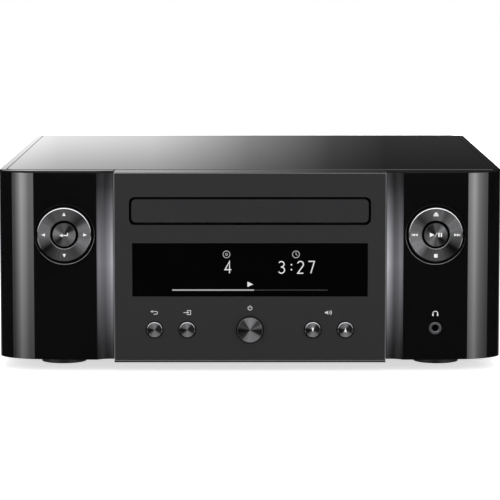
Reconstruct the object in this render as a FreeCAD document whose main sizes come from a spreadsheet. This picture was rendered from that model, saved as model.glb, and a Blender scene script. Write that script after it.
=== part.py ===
"""Compact disc receiver with a sliding tray, as separate pieces in millimetres.

X runs to the right as seen from the front, +Y to the back and +Z up. The origin lies on the surface that
the feet stand on, midway between the face of the large front button and the ends of the terminal caps.
Every formula below is worked out from the named sizes in the document's spreadsheet.
"""

import FreeCAD, Part
import math
import os
import re

import Sketcher

SIZES = {
    # Casing
    "overall_width": 280,
    "top_level": 111,
    "panel_face": 150,
    "back_face": 138,
    "side_thickness": 3.8,
    "seam": 0.5,
    "plate_thickness": 3,
    "plate_corner": 5,
    "plate_overhang": 1.5,
    "sheet_steel": 1.2,
    "base_bottom": 7,
    "base_lip": 9,
    "vent_place": 95,
    "vent_pitch": 10,
    "vent_length": 30,
    "vent_width": 3,
    "pillar_half": 3,
    "pillar_inset": 6,
    "foot_radius": 12.7,
    "foot_inset": 34,
    "foot_setback": 42,
    "rear_foot_setback": 252,
    # Clearances between pieces, and how far a cutting tool or a joined piece runs past the face that it meets
    "seat_clearance": 0.3,
    "running_gap": 0.4,
    "shaft_clearance": 0.05,
    "overlap": 1,
    # Centre panel with its tray slot, and the door in front of the tray
    "panel_width": 150.5,
    "panel_depth": 20,
    "panel_bottom": 6,
    "panel_wall": 2.6,
    "panel_front": 3,
    "panel_bevel": 0.5,
    "panel_top_drop": 0.2,
    "slot_half_width": 66.85,
    "slot_bottom": 81.8,
    "slot_top": 97.4,
    "slot_corner": 3.2,
    "door_gap": 1.3,
    "door_thickness": 3,
    "door_bevel": 0.4,
    # Display
    "window_half_width": 65.2,
    "window_bottom": 42,
    "window_top": 71.8,
    "window_inset": 0.6,
    "window_clearance": 0.1,
    "window_flange": 0.8,
    "display_depth": 4,
    "display_margin": 3,
    "display_board_half": 70,
    # Front wings
    "wing_setback": 1,
    "wing_bottom": 6.5,
    "wing_top_drop": 0.6,
    "wing_depth": 19,
    "wing_wall": 2.2,
    "strip_wall": 3,
    "wing_floor": 2.5,
    "wing_gap": 0.4,
    "wing_sweep": 2,
    "sweep_inset": 20.2,
    "sweep_radius": 312,
    "strip_width": 9.2,
    "strip_hollow": 3,
    "strip_radius": 9,
    "shoulder_inset": 6.3,
    "shoulder_depth": 8,
    "shoulder_radius": 28,
    "corner_depth": 18,
    "corner_radius": 16,
    # Front buttons and their board
    "key_level": 23.5,
    "outer_key_place": 52.9,
    "inner_key_place": 34.8,
    "key_radius": 4.25,
    "key_gap": 0.5,
    "key_stand": 0.8,
    "power_radius": 7,
    "power_gap": 0.4,
    "power_stand": 1.5,
    "key_flange": 1.3,
    "key_flange_thickness": 1,
    "key_travel": 0.6,
    "stem_half": 1.5,
    "switch_size": 6,
    "switch_height": 3.5,
    "switch_clearance": 0.1,
    "board_thickness": 1.6,
    "front_board_depth": 14,
    "front_board_half": 66,
    "front_board_rise": 11,
    # Four-way rings and their centre buttons
    "ring_share": 0.42,
    "ring_level": 76.4,
    "ring_radius": 14.9,
    "ring_bore": 7.7,
    "ring_hole": 16.6,
    "ring_bevel": 0.5,
    "ring_stand": 1,
    "ring_thickness": 5,
    "centre_radius": 6.45,
    "centre_stand": 0.8,
    "frame_outer": 13.4,
    "frame_inner": 8.8,
    "frame_thickness": 1.6,
    "frame_rib": 0.7,
    "pivot_radius": 0.9,
    "pivot_clearance": 0.05,
    "lug_offset": 0.4,
    "lug_width": 3,
    "lug_height": 5,
    "key_board_half": 16,
    # Headphone socket
    "jack_inset": 37.2,
    "jack_level": 24.1,
    "jack_ring_radius": 3.4,
    "jack_clearance": 0.1,
    "jack_sink": 0.3,
    "jack_body_half": 4.5,
    "jack_bore": 1.8,
    "jack_length": 15,
    # Tray
    "tray_half_width": 64,
    "tray_bottom": 83,
    "deck_bottom": 86,
    "deck_top": 94,
    "tray_length": 182,
    "disc_setback": 70,
    "disc_recess_radius": 60.5,
    "disc_recess_depth": 4.5,
    "small_disc_radius": 41,
    "small_disc_depth": 1,
    "tray_slot_half_width": 20,
    "runner_width": 3,
    "rack_pitch_place": 50,
    "rack_width": 6,
    # Opening gears and their motor
    "rack_module": 1.5,
    "pinion_teeth": 12,
    "train_module": 1,
    "wheel_teeth": 30,
    "driver_teeth": 10,
    "pressure_angle": 20,
    "addendum": 0.75,
    "dedendum": 1.1,
    "backlash": 0.16,
    "gear_setback": 38,
    "wheel_drop": 6,
    "gear_face_width": 2.6,
    "driver_overlap": 0.6,
    "hub_outer": 3.5,
    "post_radius": 1.5,
    "motor_radius": 12,
    "motor_length": 15,
    "shaft_sink": 0.5,
    # Loader frame
    "frame_floor": 62,
    "floor_thickness": 2,
    "frame_wall": 3,
    "frame_front_setback": 22,
    "frame_length": 172,
    "frame_top": 99,
    "rail_width": 5,
    "hook_reach": 2,
    "hook_length": 16,
    "well_half_width": 27,
    "well_margin": 4,
    "lug_thickness": 3.5,
    "pivot_boss": 4,
    "pivot_pin_radius": 2,
    "guide_start": 32,
    "guide_width": 2,
    "guide_height": 5,
    # Cam slider that lifts the traverse
    "cam_travel": 20,
    "cam_thickness": 3,
    "cam_reach": 8.5,
    "cam_clearance": 0.3,
    "cam_dwell": 3,
    "cam_margin": 2,
    "cam_run_out": 0.5,
    "lift_angle": 7,
    "lift_pin_radius": 1.5,
    # Traverse with the turntable and the pickup
    "traverse_half_width": 24,
    "traverse_level": 78,
    "traverse_thickness": 3,
    "traverse_front_reach": 24,
    "pivot_behind_disc": 68,
    "turntable_radius": 14,
    "turntable_top": 90.6,
    "table_thickness": 2.2,
    "hub_radius": 7.3,
    "hub_height": 2.7,
    "spindle_radius": 1,
    "spindle_motor_radius": 11,
    "spindle_motor_height": 7,
    "rod_spread": 15,
    "rod_radius": 1.5,
    "rod_front_reach": 10,
    "rod_block": 6,
    "rod_block_thickness": 3,
    "rod_rise": 2.4,
    "rod_lip": 0.5,
    "sled_length": 23,
    "sled_lip": 0.8,
    "lens_radius": 3,
    "lens_height": 1.8,
    "lens_rim": 0.8,
    "lens_eye": 1.8,
    "first_track": 24,
    # Clamp over the disc
    "bridge_width": 32,
    "bridge_thickness": 2,
    "bridge_play": 0.6,
    "clamper_radius": 14,
    "clamper_neck": 6,
    "clamper_bottom": 94.8,
    "clamper_lip": 3,
    "clamper_lip_half": 2,
    "clamper_lip_thickness": 1.2,
    "hang_gap": 0.1,
    # Boards and power parts
    "board_level": 16,
    "main_board_half_width": 120,
    "main_board_front": 60,
    "board_gap": 6,
    "chip_place": 25,
    "chip_height": 3,
    "power_board_inset": 42,
    "power_board_half": 26,
    "power_board_front": -115,
    "power_board_back": 45,
    "can_radius": 9,
    "can_height": 32,
    "can_offset": 8,
    "can_setback": 22,
    "transformer_size": 34,
    "core_setback": 28,
    "coil_stand": 3,
    "coil_drop": 5,
    "sink_inset": 48,
    "sink_half": 27,
    "sink_length": 90,
    "sink_height": 45,
    "sink_foot": 5,
    "sink_fins": 9,
    "sink_pitch": 6,
    "fin_thickness": 1.8,
    # Rear panel and its sockets
    "back_vent_place": 70,
    "back_vent_level": 80,
    "socket_level": 34,
    "socket_depth": 10,
    "socket_stand": 0.6,
    "socket_back": 2,
    "terminal_inset": 96.5,
    "terminal_half": 36,
    "terminal_rise": 9,
    "terminal_stand": 2,
    "terminal_sink": 8,
    "post_pitch": 19,
    "post_inset": 2,
    "screw_radius": 2.5,
    "cap_radius": 6.6,
    "cap_length": 11.2,
    "cap_gap": 0.3,
    "phono_pitch": 14,
    "phono_radius": 4.15,
    "phono_bore": 1.6,
    "phono_reach": 9,
    "phono_depth": 2,
    "holder_half": 7,
    "aerial_inset": 28,
    "optical_half": 5,
    "optical_pitch": 14,
    "optical_wall": 1,
    "optical_stand": 1,
    "network_inset": 56,
    "network_half": 8,
    "network_rise": 6.6,
    "network_depth": 12,
    "network_wall": 2,
    "network_lip": 2.4,
    "usb_inset": 86,
    "usb_half": 6.6,
    "usb_rise": 2.9,
    "usb_wall": 0.5,
    "usb_depth": 8,
    "usb_tongue_half": 5.4,
    "usb_tongue_low": 0.2,
    "usb_tongue_thickness": 1.6,
    "mains_inset": 35,
    "mains_half": 11,
    "mains_rise": 7,
    "mains_wall": 2,
    "mains_corner": 4,
    "mains_depth": 12,
    "mains_stand": 1,
    "mains_back": 3,
    "pin_pitch": 8.6,
    "pin_half": 1,
    "pin_rise": 2,
    "pin_sink": 3,
}

X, Y, Z = FreeCAD.Vector(1, 0, 0), FreeCAD.Vector(0, 1, 0), FreeCAD.Vector(0, 0, 1)
LOCAL_Z_TO = {"x": FreeCAD.Rotation(Y, 90), "y": FreeCAD.Rotation(X, -90), "z": FreeCAD.Rotation()}
PLANES = {"xy": "XY_Plane", "xz": "XZ_Plane", "yz": "YZ_Plane"}
WORD = re.compile(r"[a-z][a-z0-9_]*")
SAME_PLACE = 1e-6

doc = FreeCAD.newDocument("disc_receiver")
sheet = doc.addObject("Spreadsheet::Sheet", "sizes")
for row, (alias, size) in enumerate(SIZES.items(), 1):
    sheet.set(f"A{row}", alias)
    sheet.set(f"B{row}", str(size))
    sheet.setAlias(f"B{row}", alias)
doc.recompute()

pieces = []


def bound(formula):
    """The formula as an expression on the spreadsheet's cells."""
    return WORD.sub(lambda word: f"sizes.{word[0]}" if word[0] in SIZES else word[0], str(formula))


def value(formula):
    """What the formula comes to now."""
    return float(sheet.evalExpression(bound(formula)))


def bind(thing, **formulas):
    """Tie properties to formulas; a double underscore in a name stands for a dot."""
    for name, formula in formulas.items():
        thing.setExpression(name.replace("__", "."), bound(formula))


def piece(name, solid):
    """Name a finished sub-part; the name is also its file's name."""
    solid.Label = name
    pieces.append(solid)
    return solid


def block(name, x, y, z):
    """A box between a low and a high formula along each axis."""
    solid = doc.addObject("Part::Box", name)
    for side, base, (low, high) in zip(("Length", "Width", "Height"), "xyz", (x, y, z)):
        solid.setExpression(side, bound(f"({high}) - ({low})"))
        solid.setExpression(f"Placement.Base.{base}", bound(low))
    return solid


def rod(name, axis, at, span, radius):
    """A cylinder along an axis, at its two other coordinates, from the low to the high end of its span."""
    solid = doc.addObject("Part::Cylinder", name)
    solid.Placement = FreeCAD.Placement(FreeCAD.Vector(), LOCAL_Z_TO[axis])
    across = [letter for letter in "xyz" if letter != axis]
    for letter, formula in (*zip(across, at), (axis, span[0])):
        solid.setExpression(f"Placement.Base.{letter}", bound(formula))
    bind(solid, Radius=radius, Height=f"({span[1]}) - ({span[0]})")
    return solid


def join(name, *solids):
    """One solid from several that touch."""
    whole = doc.addObject("Part::MultiFuse", name)
    whole.Shapes = list(solids)
    return whole


def cut(name, base, *tools):
    """The base without the tools."""
    rest = doc.addObject("Part::Cut", name)
    rest.Base = base
    rest.Tool = tools[0] if len(tools) == 1 else join(f"{name}_tools", *tools)
    return rest


def group(name, *solids):
    """Several separate solids that share one node."""
    whole = doc.addObject("Part::Compound", name)
    whole.Links = list(solids)
    return whole


def arc_between(start, end, radius):
    """The arc of a circle from start to end: centre on the left of the way for a positive radius."""
    middle = (start + end) * 0.5
    way = end - start
    left = FreeCAD.Vector(-way.y, way.x, 0).normalize()
    rise = math.sqrt(max(radius * radius - way.Length * way.Length / 4, 0))
    centre = middle + left * (rise if radius > 0 else -rise)
    first, last = (start, end) if radius > 0 else (end, start)
    angles = [math.atan2(point.y - centre.y, point.x - centre.x) for point in (first, last)]
    return Part.ArcOfCircle(Part.Circle(centre, Z, abs(radius)), *angles)


def draw(sketch, outline):
    """Draw a closed outline in a sketch. Each point is (across, up), or (across, up, radius) where an arc
    leaves it: its centre lies on the left of the way for a positive radius, on the right for a negative."""
    spots = [FreeCAD.Vector(value(point[0]), value(point[1]), 0) for point in outline]
    first_edge = sketch.GeometryCount
    ends = []
    for index, point in enumerate(outline):
        start, end = spots[index], spots[(index + 1) % len(spots)]
        if len(point) == 2:
            sketch.addGeometry(Part.LineSegment(start, end))
            ends.append((1, 2))
            continue
        radius = value(point[2])
        edge = sketch.addGeometry(arc_between(start, end, radius))
        tie = sketch.addConstraint(Sketcher.Constraint("Radius", edge, abs(radius)))
        sketch.setExpression(f"Constraints[{tie}]", bound(f"abs({point[2]})"))
        ends.append((1, 2) if radius > 0 else (2, 1))
    for index, point in enumerate(outline):
        edge, after = first_edge + index, (index + 1) % len(outline)
        sketch.addConstraint(
            Sketcher.Constraint("Coincident", edge, ends[index][1], first_edge + after, ends[after][0])
        )
        for kind, formula in (("DistanceX", point[0]), ("DistanceY", point[1])):
            tie = sketch.addConstraint(
                Sketcher.Constraint(kind, -1, 1, edge, ends[index][0], value(formula))
            )
            sketch.setExpression(f"Constraints[{tie}]", bound(formula))


def body_with_sketch(name, plane, outlines, offset):
    """A body with one sketch on its own origin plane, moved along the plane's normal by the offset."""
    body = doc.addObject("PartDesign::Body", f"{name}_body")
    sketch = body.newObject("Sketcher::SketchObject", f"{name}_sketch")
    origin_plane = [f for f in body.Origin.OriginFeatures if f.Role == PLANES[plane]][0]
    sketch.AttachmentSupport = [(origin_plane, "")]
    sketch.MapMode = "FlatFace"
    sketch.setExpression("AttachmentOffset.Base.z", bound(offset))
    for outline in outlines:
        draw(sketch, outline)
    return body, sketch


def prism(name, plane, span, *outlines):
    """A pad of the outlines on a plane, through the span along the axis that the plane leaves out."""
    offset = f"-({span[1]})" if plane == "xz" else span[0]
    body, sketch = body_with_sketch(name, plane, outlines, offset)
    pad = body.newObject("PartDesign::Pad", f"{name}_pad")
    pad.Profile = sketch
    bind(pad, Length=f"({span[1]}) - ({span[0]})")
    return body


def spun(name, axis, at, outline):
    """A full turn of an outline of (radius, distance along the axis), from the point where it starts."""
    body, sketch = body_with_sketch(name, "xz", [outline], 0)
    turn = body.newObject("PartDesign::Revolution", f"{name}_turn")
    turn.Profile = sketch
    turn.ReferenceAxis = (sketch, ["V_Axis"])
    turn.Angle = 360
    body.Placement = FreeCAD.Placement(FreeCAD.Vector(), LOCAL_Z_TO[axis])
    bind(body, Placement__Base__x=at[0], Placement__Base__y=at[1], Placement__Base__z=at[2])
    return body


def rounded(across, up, radius):
    """The outline of a rectangle with four round corners."""
    (left, right), (low, high) = across, up
    return [
        (f"{left} + {radius}", low),
        (f"{right} - ({radius})", low, radius),
        (right, f"{low} + {radius}"),
        (right, f"{high} - ({radius})", radius),
        (f"{right} - ({radius})", high),
        (f"{left} + {radius}", high, radius),
        (left, f"{high} - ({radius})"),
        (left, f"{low} + {radius}", radius),
    ]


def straight(*points):
    """A closed outline of straight runs."""
    return list(points)


def bevelled(name, base, size, test, kind="Part::Chamfer"):
    """The base with the edges that pass the test cut off or, as a Part::Fillet, rounded."""
    doc.recompute()
    dressed = doc.addObject(kind, name)
    dressed.Base = base
    width = value(size)
    numbers = [number for number, edge in enumerate(base.Shape.Edges, 1) if test(edge)]
    dressed.Edges = [(number, width, width) for number in numbers]
    return dressed


def mirrored(name, source):
    """The source seen in the plane between left and right."""
    image = doc.addObject("Part::Mirroring", name)
    image.Source = source
    image.Base = FreeCAD.Vector()
    image.Normal = X
    return image


def both(half):
    """The two ends of a width that lies evenly about the middle."""
    return (f"-({half})", half)


def both_about(middle, half):
    """The two ends of a width about a middle."""
    return (f"{middle} - ({half})", f"{middle} + {half}")


def sorted_span(sign, near, far):
    """The two ends of a width on the left (sign -1) or right (sign 1), given from the middle outwards."""
    return (near, far) if sign > 0 else (f"-({far})", f"-({near})")


def around(at, half_across, half_up, gap="0"):
    """The widths across and up around a place."""
    return both_about(at[0], f"{half_across} + {gap}"), both_about(at[1], f"{half_up} + {gap}")


def slots(name, centres, across, up, span, axis="y"):
    """Vent slots of one size around their centres, cut along an axis."""
    tools = []
    for number, (first, second) in enumerate(centres):
        wide, high = both_about(first, f"{across} / 2"), both_about(second, f"{up} / 2")
        order = {"y": (wide, span, high), "z": (wide, high, span)}
        tools.append(block(f"{name}_{number}", *order[axis]))
    return tools


# Planes that several pieces share
PANEL_FACE = "-panel_face"
PANEL_INNER = "-panel_face + panel_front"
PANEL_BACK = "-panel_face + panel_depth"
PANEL_HALF = "panel_width / 2"
WING_FACE = "-panel_face + wing_setback"
WING_INNER_SIDE = "panel_width / 2 + wing_gap"
HALF_WIDTH = "overall_width / 2"
SIDE_INNER = "overall_width / 2 - side_thickness"
COVER_SIDE = "overall_width / 2 - side_thickness - seat_clearance"
RING_PLACE = f"({WING_INNER_SIDE} + ring_share * ({HALF_WIDTH} - ({WING_INNER_SIDE})))"
LUG_END = "ring_hole + lug_offset + lug_width"
JACK_PLACE = f"({HALF_WIDTH} - jack_inset)"
COVER_TOP = "top_level - plate_thickness"
BASE_TOP = "base_bottom + sheet_steel"
BACK = "back_face"
BACK_INNER = "back_face - sheet_steel"
VENT_ROWS = 5
KEYS = {
    "return_button": "-outer_key_place",
    "source_button": "-inner_key_place",
    "volume_down_button": "inner_key_place",
    "volume_up_button": "outer_key_place",
}


def make_centre_panel():
    """The matte front block: a hollow box open at the back, with its slot, window and button holes."""
    top = "top_level - panel_top_drop"
    front = block("panel_blank", both(PANEL_HALF), (PANEL_FACE, PANEL_BACK), ("panel_bottom", top))

    def is_front_edge(edge):
        return all(abs(vertex.Y - value(PANEL_FACE)) < SAME_PLACE for vertex in edge.Vertexes)

    front = bevelled("panel_bevelled", front, "panel_bevel", is_front_edge)
    hollow = block(
        "panel_hollow",
        both(f"{PANEL_HALF} - panel_wall"),
        (PANEL_INNER, f"{PANEL_BACK} + overlap"),
        ("panel_bottom + panel_wall", f"{top} - panel_wall"),
    )
    through = (f"{PANEL_FACE} - overlap", f"{PANEL_INNER} + overlap")
    slot = rounded(both("slot_half_width"), ("slot_bottom", "slot_top"), "slot_corner")
    holes = [prism("tray_slot", "xz", through, slot)]
    holes.append(block("window_opening", both("window_half_width"), through, ("window_bottom", "window_top")))
    for name, place in KEYS.items():
        holes.append(rod(f"{name}_hole", "y", (place, "key_level"), through, "key_radius + key_gap"))
    holes.append(rod("power_button_hole", "y", (0, "key_level"), through, "power_radius + power_gap"))
    return piece("centre_panel", cut("panel_cut", front, hollow, *holes))


def wing_outlines():
    """The right wing seen from above: its outer outline, and that of the hollow behind its wall."""
    inner, face, back = WING_INNER_SIDE, WING_FACE, f"{WING_FACE} + wing_depth"
    sweep_end = f"{HALF_WIDTH} - sweep_inset"
    shoulder = f"{HALF_WIDTH} - shoulder_inset"
    outer = [
        (inner, f"{face} + strip_hollow", "-strip_radius"),
        (f"{inner} + strip_width", face, "sweep_radius"),
        (sweep_end, f"{face} + wing_sweep", "shoulder_radius"),
        (shoulder, f"{face} + shoulder_depth", "corner_radius"),
        (HALF_WIDTH, f"{face} + corner_depth"),
        (HALF_WIDTH, back),
        (inner, back),
    ]
    hollow = [
        (f"{inner} + wing_wall", f"{face} + strip_hollow + strip_wall"),
        (f"{inner} + strip_width", f"{face} + strip_wall"),
        (sweep_end, f"{face} + wing_sweep + wing_wall"),
        (f"{shoulder} - wing_wall", f"{face} + shoulder_depth + wing_wall"),
        (f"{HALF_WIDTH} - wing_wall", f"{face} + corner_depth"),
        (f"{HALF_WIDTH} - wing_wall", f"{back} + overlap"),
        (f"{inner} + wing_wall", f"{back} + overlap"),
    ]
    return outer, hollow


def make_wing(side):
    """A glossy front wing with the hole and pivot lugs of its four-way ring."""
    outer, hollow_outline = wing_outlines()
    top = "top_level - wing_top_drop"
    shell = prism(f"{side}_wing_blank", "xy", ("wing_bottom", top), outer)
    hollow = prism(
        f"{side}_wing_hollow", "xy", ("wing_bottom + wing_floor", f"{top} - wing_floor"), hollow_outline
    )
    at_ring = (RING_PLACE, "ring_level")
    hole_span = (f"{WING_FACE} - overlap", f"{WING_FACE} + wing_wall * 2")
    tools = [hollow, rod(f"{side}_ring_hole", "y", at_ring, hole_span, "ring_hole")]
    if side == "right":
        at_jack = (JACK_PLACE, "jack_level")
        tools.append(rod("jack_hole", "y", at_jack, hole_span, "jack_ring_radius + jack_clearance"))
    wing = cut(f"{side}_wing_shell", shell, *tools)
    lugs = []
    near, far = "(ring_hole + lug_offset)", f"({LUG_END})"
    for number, (span, front) in enumerate((
        ((f"{RING_PLACE} - {far}", f"{RING_PLACE} - {near}"), f"{WING_FACE} + strip_wall"),
        ((f"{RING_PLACE} + {near}", f"{RING_PLACE} + {far}"), f"{WING_FACE} + wing_sweep + wing_wall / 2"),
    )):
        deep = (front, f"{PIVOT_PLANE} + lug_height / 2")
        lugs.append(block(f"{side}_lug_{number}", span, deep, both_about("ring_level", "lug_height / 2")))
    bearing = "pivot_radius + pivot_clearance"
    notch = block(
        f"{side}_lug_notch",
        both_about(RING_PLACE, f"{far} + overlap"),
        (f"{PIVOT_PLANE} - ({bearing})", f"{PIVOT_PLANE} + lug_height"),
        both_about("ring_level", bearing),
    )
    right_hand = cut(f"{side}_wing_cut", join(f"{side}_wing_lugged", wing, *lugs), notch)
    finished = right_hand if side == "right" else mirrored("left_wing_mirror", right_hand)
    return piece(f"{side}_front_wing", finished)


def make_side_panel(side):
    """A glossy side that stands as a rim beside the top plate and is rounded at the back."""
    outline = [
        (SIDE_INNER, f"{PANEL_BACK} + wing_gap"),
        (HALF_WIDTH, f"{PANEL_BACK} + wing_gap"),
        (HALF_WIDTH, f"{BACK} - side_thickness", "side_thickness"),
        (SIDE_INNER, BACK),
    ]
    panel = prism(f"{side}_side_blank", "xy", ("wing_bottom", "top_level"), outline)
    return piece(f"{side}_side_panel", panel if side == "right" else mirrored("left_side_mirror", panel))


def make_top_plate():
    """The glossy plate let in between the two side rims."""
    outline = rounded(
        both(f"{SIDE_INNER} - seam"),
        (f"{PANEL_BACK} + seam", "back_face + plate_overhang"),
        "plate_corner",
    )
    plate = prism("top_plate_blank", "xy", (COVER_TOP, "top_level"), outline)
    return piece("top_plate", plate)


def make_inner_cover():
    """The folded steel cover under the top plate, open to the front and the back."""
    front, back = f"{PANEL_BACK} + seat_clearance", BACK_INNER
    outer = block("cover_outer", both(COVER_SIDE), (front, back), (BASE_TOP, COVER_TOP))
    inner = block(
        "cover_inner",
        both(f"{COVER_SIDE} - sheet_steel"),
        (f"{front} - overlap", f"{back} + overlap"),
        (f"{BASE_TOP} - overlap", f"{COVER_TOP} - sheet_steel"),
    )
    return piece("inner_cover", cut("cover_cut", outer, inner))


def make_chassis_base():
    """The steel floor with turned-up lips, vent slots and the pillars of the boards."""
    half = f"{COVER_SIDE} - sheet_steel - seat_clearance"
    front, back = f"{PANEL_BACK} + seat_clearance", BACK_INNER
    outer = block("base_outer", both(half), (front, back), ("base_bottom", f"{BASE_TOP} + base_lip"))
    inner = block(
        "base_inner",
        both(f"{half} - sheet_steel"),
        (f"{front} + sheet_steel", f"{back} - sheet_steel"),
        (BASE_TOP, f"{BASE_TOP} + base_lip + overlap"),
    )
    centres = []
    for side in ("-", ""):
        for number in range(VENT_ROWS):
            centres.append((f"{side}vent_place", f"vent_pitch * {number - (VENT_ROWS - 1) / 2}"))
    through = ("base_bottom - overlap", f"{BASE_TOP} + overlap")
    vents = slots("base_vent", centres, "vent_length", "vent_width", through, "z")
    tray = cut("base_cut", outer, inner, *vents)
    pillars = []
    for name, places, top in (
        ("board", BOARD_PILLARS, "board_level"),
        ("loader", LOADER_PILLARS, "frame_floor"),
    ):
        for number, at in enumerate(places):
            across, along = around(at, "pillar_half", "pillar_half")
            deep = (f"{BASE_TOP} - sheet_steel / 2", top)
            pillars.append(block(f"{name}_pillar_{number}", across, along, deep))
    return piece("chassis_base", join("base_joined", tray, *pillars))


def make_feet():
    """Four round feet."""
    feet = []
    for end, setback in (("front", "foot_setback"), ("rear", "rear_foot_setback")):
        for side, sign in (("left", "-"), ("right", "")):
            at = (f"{sign}({HALF_WIDTH} - foot_inset)", f"-panel_face + {setback}")
            feet.append(rod(f"{end}_{side}_foot", "z", at, (0, "base_bottom"), "foot_radius"))
    return piece("feet", group("four_feet", *feet))


# Depths of the front controls, from the front backwards
RING_FRONT = "-panel_face + wing_setback - ring_stand"
RING_BACK = f"{RING_FRONT} + ring_thickness"
RING_AXIS = f"{RING_BACK} + pivot_radius / 2"
RING_FRAME_FRONT = f"{RING_AXIS} + pivot_radius / 2"
RIDGE_FRONT = f"{RING_AXIS} - pivot_radius"
PIVOT_PLANE = f"{RING_FRAME_FRONT} + frame_thickness / 2"
KEY_BOARD = f"{WING_FACE} + wing_depth - board_thickness * 2"
FRONT_BOARD = "-panel_face + front_board_depth"
DISPLAY_FRONT = f"{PANEL_INNER} + window_flange + seat_clearance"
DISPLAY_BOARD = f"{DISPLAY_FRONT} + display_depth"
WINDOW_WIDE = "window_half_width + window_flange * 2"


def switch(name, across, up, board):
    """A push switch standing forward from a board."""
    half = "switch_size / 2"
    return block(name, both_about(across, half), (f"{board} - switch_height", board), both_about(up, half))


def make_key(name, at, front, radius, back, tip):
    """A round button, its square flange behind the panel and the stem to its switch."""
    across, up = around(at, radius, radius, "key_flange")
    flange = block(f"{name}_flange", across, (back, f"{back} + key_flange_thickness"), up)
    across, up = around(at, "stem_half", "stem_half")
    stem = block(f"{name}_stem", across, (back, tip), up)
    cap = rod(f"{name}_cap", "y", at, (front, back), radius)
    return piece(name, join(f"{name}_joined", cap, flange, stem))


def make_front_keys():
    """The four small buttons and the large one of the centre panel."""
    back = f"{PANEL_INNER} + seat_clearance"
    tip = f"{FRONT_BOARD} - switch_height - key_travel - switch_clearance"
    for name, place in KEYS.items():
        make_key(name, (place, "key_level"), f"{PANEL_FACE} - key_stand", "key_radius", back, tip)
    make_key("power_button", (0, "key_level"), f"{PANEL_FACE} - power_stand", "power_radius", back, tip)


def make_ring_set(side):
    """A four-way ring, the spring frame that it rocks on, its centre button and their circuit board."""
    sign = "-" if side == "left" else ""
    centre = f"{sign}{RING_PLACE}"
    ring = spun(
        f"{side}_ring_turn",
        "y",
        (centre, RING_FRONT, "ring_level"),
        straight(
            ("ring_bore", 0),
            ("ring_radius - ring_bevel", 0),
            ("ring_radius", "ring_bevel"),
            ("ring_radius", "ring_thickness"),
            ("ring_bore", "ring_thickness"),
        ),
    )
    groove = block(
        f"{side}_ring_groove",
        both_about(centre, "pivot_radius + pivot_clearance"),
        (f"{RIDGE_FRONT} - pivot_clearance", f"{RING_BACK} + overlap"),
        both_about("ring_level", "ring_radius + overlap"),
    )
    piece(f"{side}_ring", cut(f"{side}_ring_cut", ring, groove))

    frame_span = (RING_FRAME_FRONT, f"{RING_FRAME_FRONT} + frame_thickness")
    at_ring = (centre, "ring_level")
    across, up = around(at_ring, "frame_outer", "frame_outer")
    plate = block(f"{side}_frame_plate", across, frame_span, up)
    across, up = around(at_ring, "frame_inner", "frame_inner")
    through = (f"{frame_span[0]} - overlap", f"{frame_span[1]} + overlap")
    eye = block(f"{side}_frame_eye", across, through, up)
    parts = [cut(f"{side}_frame_border", plate, eye)]
    lug_reach = f"({LUG_END} - frame_rib)"
    middle = "(frame_inner + frame_outer) / 2"
    pusher_span = (PIVOT_PLANE, f"{KEY_BOARD} - switch_height - switch_clearance - key_travel")
    for number, direction in enumerate(("-", "+")):
        ends = ["(frame_inner + frame_rib)", "(frame_outer - frame_rib)"]
        pins = ["(frame_inner + frame_rib)", lug_reach]
        if direction == "-":
            ends.reverse()
            pins.reverse()
        ridge_span = tuple(f"ring_level {direction} {end}" for end in ends)
        ridge = (RIDGE_FRONT, f"{RING_FRAME_FRONT} + frame_thickness / 2")
        parts.append(block(f"{side}_ridge_{number}", both_about(centre, "pivot_radius"), ridge, ridge_span))
        pin_span = tuple(f"{centre} {direction} {end}" for end in pins)
        parts.append(rod(f"{side}_pin_{number}", "x", (PIVOT_PLANE, "ring_level"), pin_span, "pivot_radius"))
        place = (centre, f"ring_level {direction} {middle}")
        across, up = around(place, "stem_half", "stem_half")
        parts.append(block(f"{side}_pusher_{number}", across, pusher_span, up))
    piece(f"{side}_ring_frame", join(f"{side}_frame_joined", *parts))

    front = f"{WING_FACE} - centre_stand"
    back = f"{front} + ring_thickness - centre_stand"
    tip = f"{KEY_BOARD} - switch_height - key_travel - switch_clearance"
    cap = rod(f"{side}_centre_cap", "y", at_ring, (front, back), "centre_radius")
    across, up = around(at_ring, "stem_half", "stem_half")
    stem = block(f"{side}_centre_stem", across, (f"{front} + overlap", tip), up)
    piece("ok_button" if side == "left" else "play_button", join(f"{side}_centre_joined", cap, stem))

    board_span = (KEY_BOARD, f"{KEY_BOARD} + board_thickness")
    boards = [block(f"{side}_key_pcb", both_about(centre, "key_board_half"), board_span,
                    both_about("ring_level", "key_board_half"))]
    for number, up in enumerate(("ring_level", f"ring_level + {middle}", f"ring_level - {middle}")):
        boards.append(switch(f"{side}_switch_{number}", centre, up, KEY_BOARD))
    piece(f"{side}_key_board", join(f"{side}_board_joined", *boards))


def make_front_board():
    """The board behind the lower buttons, with a switch for each."""
    parts = [block("front_pcb", both("front_board_half"), (FRONT_BOARD, f"{FRONT_BOARD} + board_thickness"),
                   both_about("key_level", "front_board_rise"))]
    for name, place in (*KEYS.items(), ("power_button", "0")):
        parts.append(switch(f"{name}_switch", place, "key_level", FRONT_BOARD))
    return piece("front_board", join("front_board_joined", *parts))


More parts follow.
